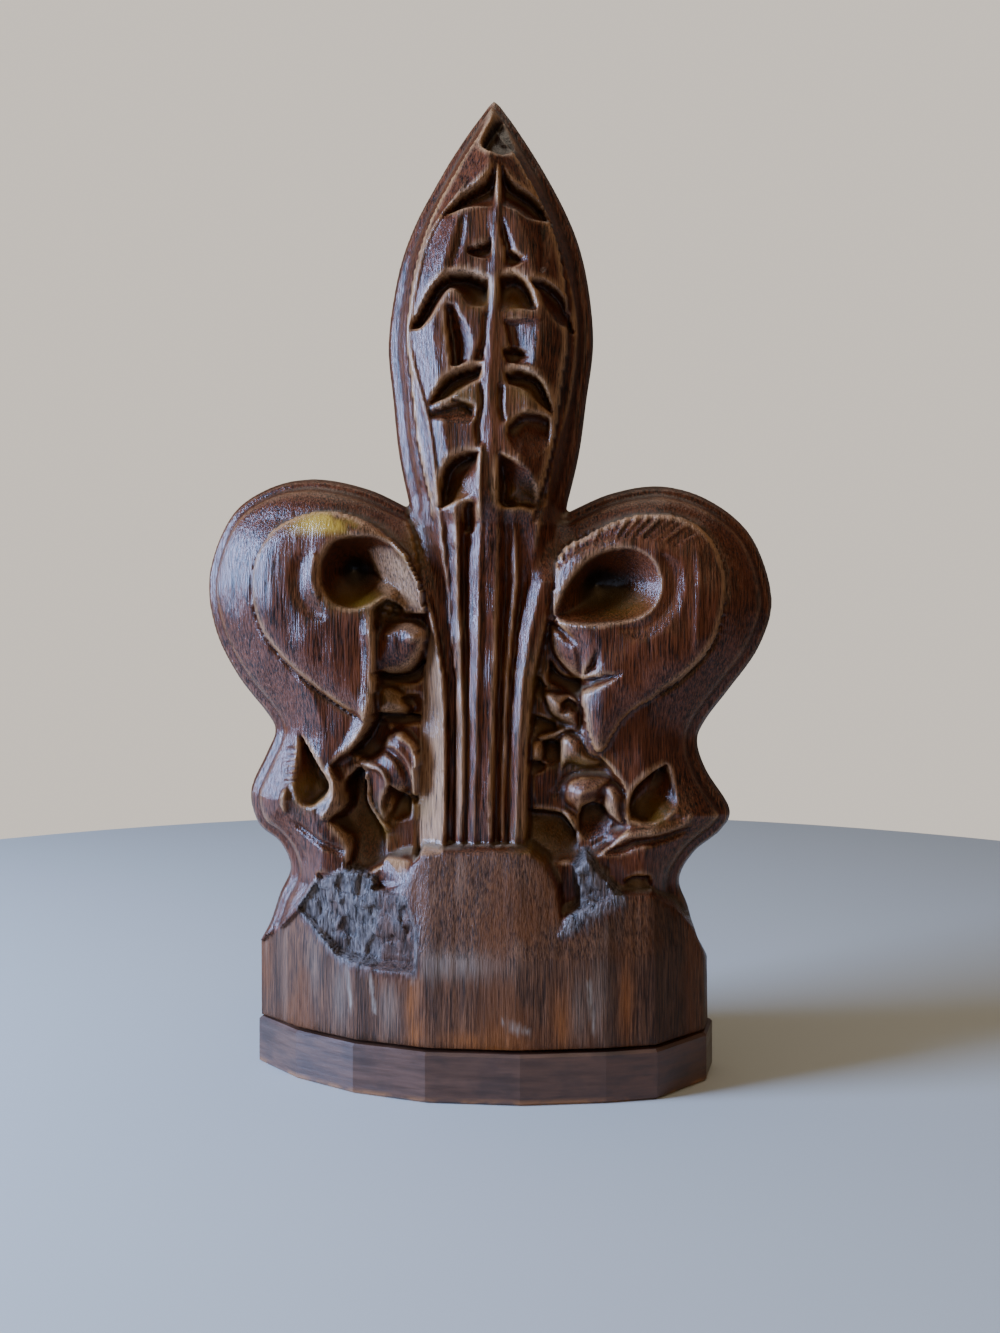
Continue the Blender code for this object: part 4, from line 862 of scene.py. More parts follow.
# %% The rough block and its damage
# Where the block's rough faces end and the carving begins, left to right
FRONT_BLOCK_TOP = (
    (-80, 23), (-73, 24.3), (-65, 30), (-57.5, 37.5), (-50, 31), (-44, 25.5), (-31, 23),
    (-19.5, 23.3), (-19, 34), (-23.5, 45), (-17.5, 57.5), (-11, 58), (4, 58.6), (15.5, 58),
    (20, 55), (23.5, 48), (24.7, 39), (31, 41.5), (42, 45.5), (52, 45), (60, 40), (67, 31),
    (71, 21), (80, 20)
)
BACK_BLOCK_TOP = (
    (-80, 23), (-72, 24), (-60, 36), (-45, 43), (-28, 49), (-19, 57), (19, 57), (28, 49), (45, 43),
    (60, 36), (71, 21), (80, 20)
)
LEDGE_SLOPE = 12.0
LEAN_FROM = 27.0
BLOCK_LEAN = 0.22
TORN_PATCH = (
    (-57.5, 38), (-50, 30.5), (-44, 25), (-31, 22.5), (-19, 22.8), (-18.5, 34), (-23, 45.5),
    (-29, 47), (-40, 51), (-51, 47)
)
TORN_LOW = 15.0
TORN_TILT = 0.32
CHISEL_FACET = ((-33.4, 45.4), (-29.6, 54.4), (-17.4, 54.6), (-21.6, 44.4))
FACET_HIGH = 28.5
FACET_TILT = (0.72, -0.22)
SPIKE_LEVEL = 27.0
ROUGH_SPIKE = (
    (29, 53), (32.4, 57), (36, 52), (40, 48), (43.6, 44), (40, 41.6), (35, 40.4), (30, 36.6),
    (25, 34.4), (27, 38.6), (30.4, 42), (30, 48)
)


def with_block(high, at, top, face):
    """The rough block below the carving: its faceted plan and the ledge where the carving begins."""
    plan = np.interp(at[:, 0] * face, *np.array(PLAN_FRONT).T) - abs(splintered(at, face))
    plan -= BLOCK_LEAN * np.clip(at[:, 1] - LEAN_FROM, 0, None) * np.clip(plan / GRID_DEEP, 0, 1)
    block = np.array(top + ((80, -6), (-80, -6)))
    past, _ = distance_to(np.array(top, float), at)
    return np.where(inside(block, at), plan, np.maximum(high, plan - past * LEDGE_SLOPE))


print("front block ends along", len(FRONT_BLOCK_TOP), "points")

# %% [markdown]
# The two faces come together from the cuts above. The back was never seen, so it repeats the
# front's main forms without its smallest cuts and without the damage.

# %% The front and the back
def mirrored(points):
    """The same points on the other side of the centre line."""
    return tuple((-across, up) for across, up in points)


def front_heights(at, gap):
    """The front face: the full carving, with the torn patch and the rough block."""
    relief = Relief(at, edge_height(gap, at[:, 1]))
    for side in (-1, 1):
        carve_lobe(relief, side)
    relief.pocket(LEFT_CAVITY, CAVITY_DEPTH, CAVITY_WALL, CAVITY_TILT)
    for depth, wall, lip in LOBE_SCOOPS:
        relief.scoop(wall, lip, depth)
    for line, width, depth in LOBE_GROOVES:
        relief.gouge(line, width, depth)
    for line, width, height in LOBE_RIDGES:
        relief.ridge(line, width, height)
    for line, left, right, height in LOBE_STRANDS:
        relief.strand(line, left, right, height)
    for loop, level, crown, wall, tilt in LEFT_LEAVES + RIGHT_LEAVES:
        relief.boss(loop, level, crown, wall, tilt)
    for depth, wall, lip in LEAF_SCOOPS:
        relief.scoop(wall, lip, depth)
    for line, width, height in LEAF_RIDGES:
        relief.ridge(line, width, height)
    relief.boss(BEAD, *BEAD_SWELL)
    cut_ticks(relief)
    raise_shaft(relief, shaft_distance(at))
    carve_stem(relief)
    carve_spear(relief)
    relief.high += hand_made(at, 1.5)
    patch = inside(np.array(TORN_PATCH), at)
    slope = TORN_LOW + (at[:, 0] - TORN_PATCH[0][0]) * TORN_TILT
    relief.high[patch] = slope[patch] + torn(at[patch], TORN_CHIPS)
    facet = inside(np.array(CHISEL_FACET), at)
    relief.high[facet] = FACET_HIGH + (at[facet] - CHISEL_FACET[2]) @ np.array(FACET_TILT)
    spike = inside(np.array(ROUGH_SPIKE), at)
    relief.high[spike] = SPIKE_LEVEL + torn(at[spike], TORN_CHIPS)
    return with_block(relief.high, at, FRONT_BLOCK_TOP, 1)


def back_heights(at, gap):
    """The back face: the same design, plainer, on a block with plain facets."""
    relief = Relief(at, edge_height(gap, at[:, 1]))
    for side in (-1, 1):
        carve_lobe(relief, side)
        for loop, level, crown, wall, tilt in LEFT_LEAVES:
            turned = loop if side < 0 else mirrored(loop)
            relief.boss(turned, level, crown, wall, tilt)
    raise_shaft(relief, shaft_distance(at))
    carve_stem(relief)
    carve_spear(relief)
    relief.high += hand_made(at, 7.5)
    return with_block(relief.high, at, BACK_BLOCK_TOP, -1)


print("two faces drawn")

# %% [markdown]
# The head starts as a thin plate of the outline. A voxel remesh gives it an even net of points, with
# no long thin faces, so fine cuts land on it cleanly. Subdividing the plate would leave its fan of
# slivers. Then each point is pushed forward or back to the carved height, and stays in the solid's box.

# %% A net of even points
NET_STEP = 0.00072


def piece_from(bm, name):
    """Turn a bmesh into an object in the scene."""
    mesh = bpy.data.meshes.new(name)
    bm.to_mesh(mesh)
    bm.free()
    piece = bpy.data.objects.new(name, mesh)
    bpy.context.scene.collection.objects.link(piece)
    return piece


def plate(edge, low, high):
    """A flat plate with the given outline, standing upright between two depths."""
    bm = bmesh.new()
    ring = [bm.verts.new((across, low, up)) for across, up in edge]
    face = bm.faces.new(ring)
    grown = bmesh.ops.extrude_face_region(bm, geom=[face])
    lifted = [part for part in grown["geom"] if isinstance(part, bmesh.types.BMVert)]
    bmesh.ops.translate(bm, verts=lifted, vec=(0, high - low, 0))
    bmesh.ops.recalc_face_normals(bm, faces=bm.faces)
    return bm


def settled(piece):
    """Apply the modifiers on a piece."""
    graph = bpy.context.evaluated_depsgraph_get()
    mesh = bpy.data.meshes.new_from_object(piece.evaluated_get(graph))
    piece.modifiers.clear()
    piece.data = mesh
    return mesh


rim = RIM_HALF * RELIEF
head = piece_from(plate(outline * STEP, -rim, rim), "carved_poppy_head")
remesh = head.modifiers.new("even_net", "REMESH")
remesh.mode = "VOXEL"
remesh.voxel_size = NET_STEP * 1
mesh = settled(head)
print("net of", len(mesh.vertices), "points")

# %% Carve the net
THINNEST = 2.5
INSET = 0.00002
spots = np.empty(len(mesh.vertices) * 3, np.float32)
mesh.vertices.foreach_get("co", spots)
spots = spots.reshape(-1, 3).astype(float)
at = spots[:, (0, 2)] / STEP
gap, _ = distance_to(outline, at, closed=True)
gap = np.where(inside(outline, at), gap, 0)
side = np.clip(spots[:, 1] / rim, -1, 1)
on_front = side < 0
forward = np.empty(len(at))
forward[on_front] = front_heights(at[on_front], gap[on_front])
forward[~on_front] = back_heights(at[~on_front], gap[~on_front])
forward = np.maximum(forward, THINNEST)
spots[:, 1] = side * forward * RELIEF
spots[:, 2] = np.maximum(spots[:, 2], 0) + HEAD_FOOT
spots = np.clip(spots, np.array(head_low) + (INSET, INSET, 0), np.array(head_high) - INSET)
mesh.vertices.foreach_set("co", spots.ravel().astype(np.float32))
mesh.update()
print("carved from", forward.min().round(1), "to", forward.max().round(1), "steps forward")

# %% [markdown]
# Wear, dust and painted shade follow the shape: crests rub pale, hollows get painted shade and dust.
# A material could ask for pointiness, but an export loses it. So the heights are evened out over the
# mesh for a few rounds or for many, and how far a point stands above or below that is painted on it as
# a number.

# %% Numbers painted on the mesh
def spread(mesh, values, rounds):
    """Even out a value over the mesh, each point taking the mean of its neighbours, some rounds."""
    ends = np.empty(len(mesh.edges) * 2, np.int32)
    mesh.edges.foreach_get("vertices", ends)
    ends = ends.reshape(-1, 2)
    count = np.bincount(ends.ravel(), minlength=len(values))
    for _ in range(rounds):
        total = np.bincount(ends[:, 0], values[ends[:, 1]], len(values))
        total += np.bincount(ends[:, 1], values[ends[:, 0]], len(values))
        values = 0.5 * values + 0.5 * total / np.maximum(count, 1)
    return values


def paint(name, values):
    """Keep one number per point on the head, for its material to read."""
    layer = mesh.attributes.new(name, "FLOAT", "POINT")
    layer.data.foreach_set("value", np.clip(values, 0, 1).astype(np.float32))


def region(loop, places, soft):
    """One inside a loop, fading to nothing at its edge."""
    loop = np.array(loop, float)
    past, _ = distance_to(loop, places, closed=True)
    return np.where(inside(loop, places), np.clip(past / soft, 0, 1), 0)


def soft_spots(spots):
    """The strongest of several soft ovals at each point of the head."""
    strongest = np.zeros(len(at))
    for across, up, half_wide, half_high, strength in spots:
        away = ((at[:, 0] - across) / half_wide) ** 2 + ((at[:, 1] - up) / half_high) ** 2
        strongest = np.maximum(strongest, strength * np.exp(-away))
    return strongest


print("the net has", len(mesh.edges), "edges to spread over")

# %% Wear on the crests, painted light on lit walls, shade in the hollows
NEAR_ROUNDS = 3
CREST_ROUNDS = 16
WIDE_ROUNDS = 60
HOLLOW_DEEP = 10
CREST_HIGH = 1.6
ARRIS_GAIN = 2.2
RIM_FADE = 5
SLOPE_LOW = 12
# The stem's left wall faces the window: it is painted pale, as painted light.
LIT_STEM_SIDE = (
    (-22, 56), (-20, 90), (-19, 112), (-16, 127), (-13.8, 122), (-11, 108), (-10.2, 90), (-10.6, 56)
)
block_edge, _ = distance_to(np.array(FRONT_BLOCK_TOP, float), at)
facet = region(CHISEL_FACET, at, 0.3) * on_front
carved = np.clip((block_edge - 1) / 3, 0, 1) * (1 - facet)
lit_eye_slope = region(EYE_SLOPE, at, 3.0) * on_front * np.clip((forward - SLOPE_LOW) / 4, 0, 1)
lit_stem_side = region(LIT_STEM_SIDE, at, 1.0) * on_front
near_by = spread(mesh, forward, NEAR_ROUNDS)
crests = (forward - spread(mesh, forward, CREST_ROUNDS)) / CREST_HIGH * carved
# How far a point lies below its wider surroundings: the finish paints shade with it in the hollows.
paint("hollow", (spread(mesh, forward, WIDE_ROUNDS) - forward) / HOLLOW_DEEP * (1 - facet))
# Pale crests are wear; the pale stem wall and the left eye's slope are painted light.
paint("rubbed_and_lit", np.maximum(crests, np.maximum(lit_stem_side, lit_eye_slope)))
paint("arris", (forward - near_by) * ARRIS_GAIN * np.clip(gap / RIM_FADE, 0, 1) * carved)
# Painted shade in the narrow creases.
paint("crease_shade", (near_by - forward) * ARRIS_GAIN)
print("pale crests on", round(100 * float((crests > 0.5).mean())), "% of the points")

# %% [markdown]
# Some shade and dust have their own place: painted black shade in both eyes and in the cut at the tip,
# and ochre dust with painted light on ledges, on floors in the drops and recesses, and on slopes in the
# spear's cuts. Each patch of dust and painted light is a soft oval: across, up, half its width, half its
# height, and its strength.

# %% Painted shade in the eyes, dust and painted light
EYE_FLOOR = 16
LEFT_EYE_FLOOR = 14
FLOOR_FADE = 4
TIP_SHADE = 0.8
DUST_AND_LIGHT_SPOTS = (
    (-37, 134.5, 9, 3.5, 1.0), (-29, 131.5, 5, 3, 0.8), (-54, 75, 5.5, 5, 1.0),
    (-33, 64, 7, 7, 0.6), (-21, 150, 4, 7, 0.6), (-28, 105, 6, 4, 0.5), (-20, 70, 5, 4, 0.6),
    (20, 61, 9, 6, 0.7), (21, 97, 7, 5, 0.5), (17, 110, 4, 7, 0.5), (54, 69, 6, 4, 0.7),
    (0, 226, 5, 4, 0.5), (11, 225, 5, 4, 0.5), (-6, 196, 6, 4, 0.5), (15, 197, 6, 4, 0.5),
    (40, 134, 10, 5, 0.5), (11, 166, 7, 4, 0.6), (-8, 168, 4, 5, 0.3), (30, 84, 8, 3, 0.6)
)
# Painted black shade on the floors of both eyes and in the cut at the tip.
eye_and_tip_shade = np.zeros(len(at))
left_floor = np.clip((LEFT_EYE_FLOOR - forward) / FLOOR_FADE, 0, 1)
for loop, share in ((loop_through(LEFT_EYE), left_floor), (loop_through(RIGHT_EYE), 1)):
    floor_of_eye = np.clip((EYE_FLOOR - forward) / FLOOR_FADE, 0, 1)
    eye_and_tip_shade = np.maximum(eye_and_tip_shade, inside(loop, at) * floor_of_eye * share)
tip_cut = SPEAR_SCOOPS[0][1] + SPEAR_SCOOPS[0][2][::-1]
paint("eye_and_tip_shade", np.maximum(eye_and_tip_shade, region(tip_cut, at, 0.8) * on_front * TIP_SHADE))
# Ochre dust with painted light on the floors and on the slopes of the spear's cuts.
paint("dust_and_light", soft_spots(DUST_AND_LIGHT_SPOTS) * on_front)
print(len(DUST_AND_LIGHT_SPOTS), "patches of dust")

# %% [markdown]
# The sawn block and the torn wood never had the dark finish, so each has its own number. A blend of
# materials by face would leave a stepped edge. Numbers on the points fade over less than a step.

# %% Sawn and torn wood
TORN_FADE = 1.5
block = np.zeros(len(at))
for flag, top in ((on_front, FRONT_BLOCK_TOP), (~on_front, BACK_BLOCK_TOP)):
    block[flag] = region(list(top) + [(95, -6), (-95, -6)], at[flag], 0.8)
rough = np.zeros(len(at))
for loop in (TORN_PATCH, ROUGH_SPIKE):
    loop = np.array(loop, float)
    past, _ = distance_to(loop, at, closed=True)
    reach = np.where(inside(loop, at), 1, np.clip(TORN_FADE - past, 0, 1))
    rough = np.maximum(rough, reach * on_front)
rough = rough * (1 - region(CHISEL_FACET, at, 0.5))
paint("sawn", np.where(rough > 0, 0, block))
paint("torn", rough)
print("torn wood on", round(100 * float((rough > 0.5).mean()), 1), "% of the points")

# %% [markdown]
# The block shows how it was handled: pale scratches and smudges, wood rubbed bare and orange at the
# foot, and darker boards where the sawn grain turns. The left lobe has a golden patch near its top.
# Lines give the scratches, and soft ovals the rest.

# %% Marks on the block and the golden patch
MARK_CORE = 1.4
BOARD_LEAN = -0.04
BOARD_MIDDLE = 20
BOARD_FADE = 1.5
GOLD_AT = (-48, 158)
GOLD_HALF = (9, 3.2)
GOLD_DROOP = 0.012
# Scratches: the line and half its width
SCRATCHES = (
    (((7.5, 9.5), (11, 8.2), (15.5, 6)), 0.5),
    (((10, 7.4), (12.5, 6.6)), 0.4),
    (((-19.5, 21), (-18.6, 29)), 0.6),
    (((-42, 34), (-40.5, 22), (-39, 10)), 0.5),
    (((-33, 22), (-31.5, 10)), 0.5),
    (((33, 20), (34.5, 6)), 0.5)
)
SMUDGES = (
    (-7, 25.5, 13, 3.5, 0.55), (-52, 22, 3, 12, 0.25), (-43, 14, 3, 10, 0.3), (-27, 12, 3, 9, 0.3),
    (36, 16, 2.5, 14, 0.3), (30, 12, 3, 10, 0.25)
)
BARE_SPOTS = (
    (7, -1, 9, 9, 1.0), (-20, 14, 2.0, 9, 1.0), (-19, 5, 2.5, 5, 1.0),
    (-2, 3, 9, 3, 1.0), (25, 8, 3, 10, 1.0), (44, 14, 2, 12, 1.0)
)
# Dark boards: the middle, across, and half the width
DARK_BOARDS = ((41, 4.0), (58, 6.0), (-36, 2.5), (-66, 3.0))
marks = soft_spots(SMUDGES)
for line, half in SCRATCHES:
    past, _ = distance_to(np.array(line, float), at)
    marks = np.maximum(marks, np.clip(MARK_CORE - past / half, 0, 1))
boards = np.zeros(len(at))
for across, half in DARK_BOARDS:
    away = abs(at[:, 0] - across - (at[:, 1] - BOARD_MIDDLE) * BOARD_LEAN)
    boards = np.maximum(boards, np.clip((half - away) / BOARD_FADE, 0, 1))
from_gold = at[:, 0] - GOLD_AT[0]
above_gold = at[:, 1] - GOLD_AT[1] + GOLD_DROOP * from_gold ** 2
gold_patch_shape = np.exp(-(from_gold / GOLD_HALF[0]) ** 2 - (above_gold / GOLD_HALF[1]) ** 2)
paint("marks", marks * on_front)
paint("bare_wood", soft_spots(BARE_SPOTS) * on_front)
paint("dark_board", boards * on_front)
paint("gold_patch", gold_patch_shape * on_front)
print("painted:", ", ".join(layer.name for layer in mesh.attributes if layer.domain == "POINT"))

# %% [markdown]
# The net is finer than it needs to be where the head is flat. A decimate modifier takes points away
# there first and keeps the cuts. The piece then takes the place of the packed solid.

# %% Fewer faces, and the solid's place
HEAD_FACES = 192000
faces = sum(len(face.vertices) - 2 for face in mesh.polygons)
if faces > HEAD_FACES:
    thin = head.modifiers.new("fewer_faces", "DECIMATE")
    thin.ratio = HEAD_FACES / faces
    mesh = settled(head)
mesh.shade_smooth()
print(faces, "triangles thinned to", sum(len(face.vertices) - 2 for face in mesh.polygons))
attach(head, "root")
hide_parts("carved_head")

# %% [markdown]
# A finish is built from nodes. One small function adds any node, with its settings and its links. A
# second lays out a whole finish from short lists: patterns of a real size, numbers painted on the
# mesh, masks that stretch one number to a range, products of two, and coats of colour over a ground.

# %% Colour and node helpers
MM = 0.001
MIX_FACTOR = 0
MIX_UNDER = 6
MIX_OVER = 7
MIX_COLOUR = 2


def srgb(code, alpha=1.0):
    """A hex colour as linear values."""
    parts = [int(code[i:i + 2], 16) / 255 for i in (1, 3, 5)]
    return (*[p / 12.92 if p <= 0.04045 else ((p + 0.055) / 1.055) ** 2.4 for p in parts], alpha)


def add(tree, kind, settings=None, links=None):
    """Add one node: settings are its properties, links its inputs, each a value or another socket."""
    node = tree.nodes.new(kind)
    for name, value in (settings or {}).items():
        setattr(node, name, value)
    for name, value in (links or {}).items():
        socket = node.inputs[name]
        if isinstance(value, bpy.types.NodeSocket):
            tree.links.new(value, socket)
        else:
            socket.default_value = value
    return node


def lay_finish(tree, patterns, painted, masks, products, layers):
    """Lay out a finish from its lists; returns its numbers and its colours by name."""
    place = add(tree, "ShaderNodeTexCoord").outputs["Object"]
    normal = add(tree, "ShaderNodeNewGeometry").outputs["Normal"]
    numbers = {}
    for name, source in (("up", place), ("facing_up", normal)):
        numbers[name] = add(tree, "ShaderNodeSeparateXYZ", {}, {"Vector": source}).outputs["Z"]
    for name, size_mm, detail, rough in patterns:
        scale = tuple(1 / (size * MM) for size in size_mm)
        scaled = add(tree, "ShaderNodeMapping", {}, {"Vector": place, "Scale": scale})
        links = {"Vector": scaled.outputs["Vector"], "Scale": 1.0, "Detail": detail, "Roughness": rough}
        numbers[name] = add(tree, "ShaderNodeTexNoise", {}, links).outputs["Fac"]
    for name in painted:
        numbers[name] = add(tree, "ShaderNodeAttribute", {"attribute_name": name}).outputs["Fac"]
    for name, source, low, high, to_low, to_high in masks:
        links = {"Value": numbers[source], "From Min": low, "From Max": high}
        links.update({"To Min": to_low, "To Max": to_high})
        numbers[name] = add(tree, "ShaderNodeMapRange", {}, links).outputs["Result"]
    for name, operation, first, second in products:
        links = {0: numbers.get(first, first), 1: numbers.get(second, second)}
        made = add(tree, "ShaderNodeMath", {"operation": operation, "use_clamp": True}, links)
        numbers[name] = made.outputs[0]
    colours = {}
    for layer, (ground, coats) in layers.items():
        colour = colours[ground] if ground in colours else srgb(ground)
        for mask, tint in coats:
            over = colours[tint] if tint in colours else srgb(tint)
            links = {MIX_FACTOR: numbers[mask], MIX_UNDER: colour, MIX_OVER: over}
            mixed = add(tree, "ShaderNodeMix", {"data_type": "RGBA"}, links)
            colour = mixed.outputs[MIX_COLOUR]
        colours[layer] = colour
    return numbers, colours


print("mid grey is", round(srgb("#808080")[0], 3), "in linear values")

# %% [markdown]
# The real finish is oak stained nearly black, then waxed and handled for centuries. Its fibres run
# up the head, half a millimetre across and ten long, with open pores that hold the stain. They are
# drawn at about that size. Broader clouds of ten to thirty millimetres break up the tone.

# %% Patterns and painted numbers of the oak
# Patterns: the name, the size across, deep and up in mm, the detail and the roughness
OAK_PATTERNS = (
    ("fibre", (0.5, 0.5, 10), 4.0, 0.65),
    ("pores", (0.45, 0.45, 7), 2.0, 0.55),
    ("cloud", (14, 14, 30), 3.0, 0.55),
    ("boards", (7, 7, 90), 2.0, 0.55),
    ("flake", (0.9, 0.9, 4.5), 4.0, 0.65),
)
OAK_PAINTED = ("hollow", "rubbed_and_lit", "arris", "crease_shade", "eye_and_tip_shade", "dust_and_light", "sawn", "torn", "marks",
               "bare_wood", "dark_board", "gold_patch")
print(len(OAK_PATTERNS), "patterns and", len(OAK_PAINTED), "painted numbers")

# %% Masks of the oak
# Masks: the name, the number they stretch, its range, and the range it becomes
OAK_MASKS = (
    ("streak", "fibre", 0.38, 0.62, 0, 1),
    ("warm_cloud", "cloud", 0.45, 0.65, 0, 0.5),
    ("rubbed_and_lit_high", "rubbed_and_lit", 0.2, 0.9, 0, 1),
    ("rubbed_and_lit_streak", "streak", 0, 1, 0.35, 0.85),
    ("stained_pore", "pores", 0.56, 0.64, 0, 0.75),
    ("sharp_arris", "arris", 0.3, 1, 0, 0.4),
    ("worn_cloud", "cloud", 0.42, 0.6, 0.1, 1),
    ("hollow_shade_mask", "hollow", 0.45, 0.95, 0, 0.7),
    ("eye_and_tip_shade_mask", "eye_and_tip_shade", 0, 1, 0, 0.95),
    ("lying", "facing_up", 0.15, 0.6, 0, 1),
    ("shallow", "hollow", 0.05, 0.2, 0, 1),
    ("dust_and_top_cloud", "cloud", 0.35, 0.6, 0.3, 1),
    ("ochre_cloud", "cloud", 0.3, 0.6, 0.375, 0.75),
    ("painted_crease_shade", "crease_shade", 0.2, 0.9, 0, 0.4),
    ("orange_cloud", "cloud", 0.5, 0.6, 0, 0.6),
    ("dark_boards", "boards", 0.46, 0.36, 0, 0.35),
    ("pale_boards", "boards", 0.58, 0.66, 0, 0.35),
    ("bare_pore", "pores", 0.56, 0.64, 0, 0.5),
    ("turned_board", "dark_board", 0, 1, 0, 0.4),
    ("foot_streak", "streak", 0, 1, 0.35, 0.8),
    ("scraped_streak", "streak", 0, 1, 0.5, 1),
    ("brown_break", "cloud", 0.48, 0.6, 0, 1),
    ("shade_between_flakes", "flake", 0.35, 0.65, 1, 0),
    ("gold_patch_mask", "gold_patch", 0.1, 0.7, 0, 1),
    ("gold_cloud", "cloud", 0.42, 0.5, 0, 1),
    ("waxed", "fibre", 0.35, 0.65, 0.3, 0.55),
    ("sawn_dull", "sawn", 0, 1, 0, 0.2),
    ("sawn_polish", "sawn", 0, 1, 0.75, 0.25),
    ("torn_dull", "torn", 0, 1, 0, 0.5),
    ("polish_streak", "fibre", 0.42, 0.58, 0.45, 1.2),
)
# Products: the name, how the two are joined, and the two numbers
OAK_PRODUCTS = (
    ("rub_and_light", "MULTIPLY", "rubbed_and_lit_high", "rubbed_and_lit_streak"),
    ("worn", "MULTIPLY", "sharp_arris", "worn_cloud"),
    ("painted_dark_shade", "MAXIMUM", "hollow_shade_mask", "eye_and_tip_shade_mask"),
    # Settled dust on shallow upward faces, which is also painted light from above.
    ("ledge", "MULTIPLY", "lying", "shallow"),
    ("settled", "MULTIPLY", "ledge", "dust_and_top_cloud"),
    ("dust_and_top_light_coat", "MULTIPLY", "settled", 0.7),
    ("ochre_dust_and_light", "MULTIPLY", "dust_and_light", "ochre_cloud"),
    ("orange_foot", "MULTIPLY", "bare_wood", "foot_streak"),
    ("scraped", "MULTIPLY", "marks", "scraped_streak"),
    ("leaf", "MULTIPLY", "gold_patch_mask", "gold_cloud"),
    ("settled_dull", "MULTIPLY", "settled", 0.35),
    ("dusty_wax", "ADD", "waxed", "settled_dull"),
    ("roughness", "ADD", "dusty_wax", "sawn_dull"),
    ("carved_polish", "SUBTRACT", "sawn_polish", "torn_dull"),
    ("coat", "MULTIPLY", "carved_polish", "polish_streak"),
    ("fibre_high", "MULTIPLY", "fibre", 0.6),
    ("pores_high", "MULTIPLY", "pores", 0.5),
    ("grain", "ADD", "fibre_high", "pores_high"),
    ("chips", "MULTIPLY", "flake", "torn"),
)
print(len(OAK_MASKS), "masks and", len(OAK_PRODUCTS), "products")

# %% [markdown]
# Three woods share one head. The carved part is stained, pale where hands rubbed it and with painted
# light on its lit walls, and painted shade, near black, in its hollows, creases and eyes. The sawn block
# is bare brown oak, and the break is grey with brown places and painted shade between its flakes. The
# last layer puts the three together and adds a golden patch.

# %% Colours of the oak
# In the stained layer the pale rub is wear on crests and painted light on lit walls; the near-black coats
# in hollows, creases, eyes and the tip cut are painted shade; the pale and ochre dust coats also paint
# light on upward faces and floors. In the broken layer the dark between the flakes is painted shade. The
# head's last coat is the golden patch.
OAK_LAYERS = {
    "stained": ("#100502", (
        ("streak", "#643012"), ("warm_cloud", "#5e2c10"), ("rub_and_light", "#b08660"),
        ("stained_pore", "#0a0402"), ("worn", "#94642c"), ("painted_dark_shade", "#060301"),
        ("dust_and_top_light_coat", "#7c6a52"), ("ochre_dust_and_light", "#6e5414"), ("painted_crease_shade", "#0a0503"))),
    "bare": ("#301d12", (
        ("streak", "#68432a"), ("orange_cloud", "#5c3315"), ("dark_boards", "#2a190e"),
        ("pale_boards", "#80604a"), ("bare_pore", "#1c110a"), ("turned_board", "#20140c"),
        ("orange_foot", "#8a4e1c"), ("scraped", "#8d7f70"))),
    "broken": ("#766b65", (("brown_break", "#62473a"), ("shade_between_flakes", "#1a1310"))),
    "head": ("stained", (("sawn", "bare"), ("torn", "broken"), ("leaf", "#a8842e"))),
}
oak = bpy.data.materials.new("stained_waxed_oak")
oak.use_nodes = True
tree = oak.node_tree
shader = tree.nodes["Principled BSDF"]
lists = (OAK_PATTERNS, OAK_PAINTED, OAK_MASKS, OAK_PRODUCTS, OAK_LAYERS)
numbers, colours = lay_finish(tree, *lists)
tree.links.new(colours["head"], shader.inputs["Base Color"])
print("stained oak has", len(tree.nodes), "nodes")

# %% [markdown]
# Wax lies over the stain as a clear coat. It is thick on the carving, thinner over the streaks of
# open grain, and nearly gone from the sawn and torn wood. The wood under it is rough, so its own
# gloss is low. Two bumps raise the grain and the flakes of the break, both too fine for the net.

# %% Wax and grain of the oak
OAK_GLOSS = {"Specular IOR Level": 0.15, "Coat Roughness": 0.13, "Coat IOR": 1.45}
GRAIN_BUMP = {"Height": numbers["grain"], "Strength": 0.4, "Distance": 0.001}
CHIP_BUMP = {"Height": numbers["chips"], "Strength": 0.7, "Distance": 0.0012}
for name, value in OAK_GLOSS.items():
    shader.inputs[name].default_value = value
tree.links.new(numbers["roughness"], shader.inputs["Roughness"])
tree.links.new(numbers["coat"], shader.inputs["Coat Weight"])
raised = add(tree, "ShaderNodeBump", {}, GRAIN_BUMP).outputs["Normal"]
raised = add(tree, "ShaderNodeBump", {}, {**CHIP_BUMP, "Normal": raised}).outputs["Normal"]
tree.links.new(raised, shader.inputs["Normal"])
tree.links.new(raised, shader.inputs["Coat Normal"])
head.data.materials.clear()
head.data.materials.append(oak)
print("finish on", head.name, "is", oak.name)

# %% [markdown]
# The slab is a planed board, stained dark brown and only thinly waxed. Its grain lies flat, so the
# pattern is long across and thin in height. Its lower edge is rubbed to bare wood up to about two
# millimetres, where it was pushed over floors. The solid itself is dressed, as its form is plain.

# %% The slab's oak
SLAB_PATTERNS = (("fibre", (14, 14, 1.6), 4.0, 0.55), ("cloud", (12, 12, 8), 3.0, 0.55))
SLAB_MASKS = (
    ("streak", "fibre", 0.35, 0.65, 0, 1),
    ("dark_cloud", "cloud", 0.45, 0.65, 0, 0.5),
    ("low_edge", "up", 0.0022, 0.0004, 0, 1),
    ("rubbed_cloud", "cloud", 0.45, 0.55, 0, 1),
    ("roughness", "fibre", 0.3, 0.7, 0.38, 0.55),
)
SLAB_PRODUCTS = (("rubbed_edge", "MULTIPLY", "low_edge", "rubbed_cloud"),)
SLAB_LAYERS = {
    "slab": ("#422819", (("streak", "#573826"), ("dark_cloud", "#1e120e"), ("rubbed_edge", "#8a5a30"))),
}
SLAB_GLOSS = {"Coat Weight": 0.2, "Coat Roughness": 0.3}
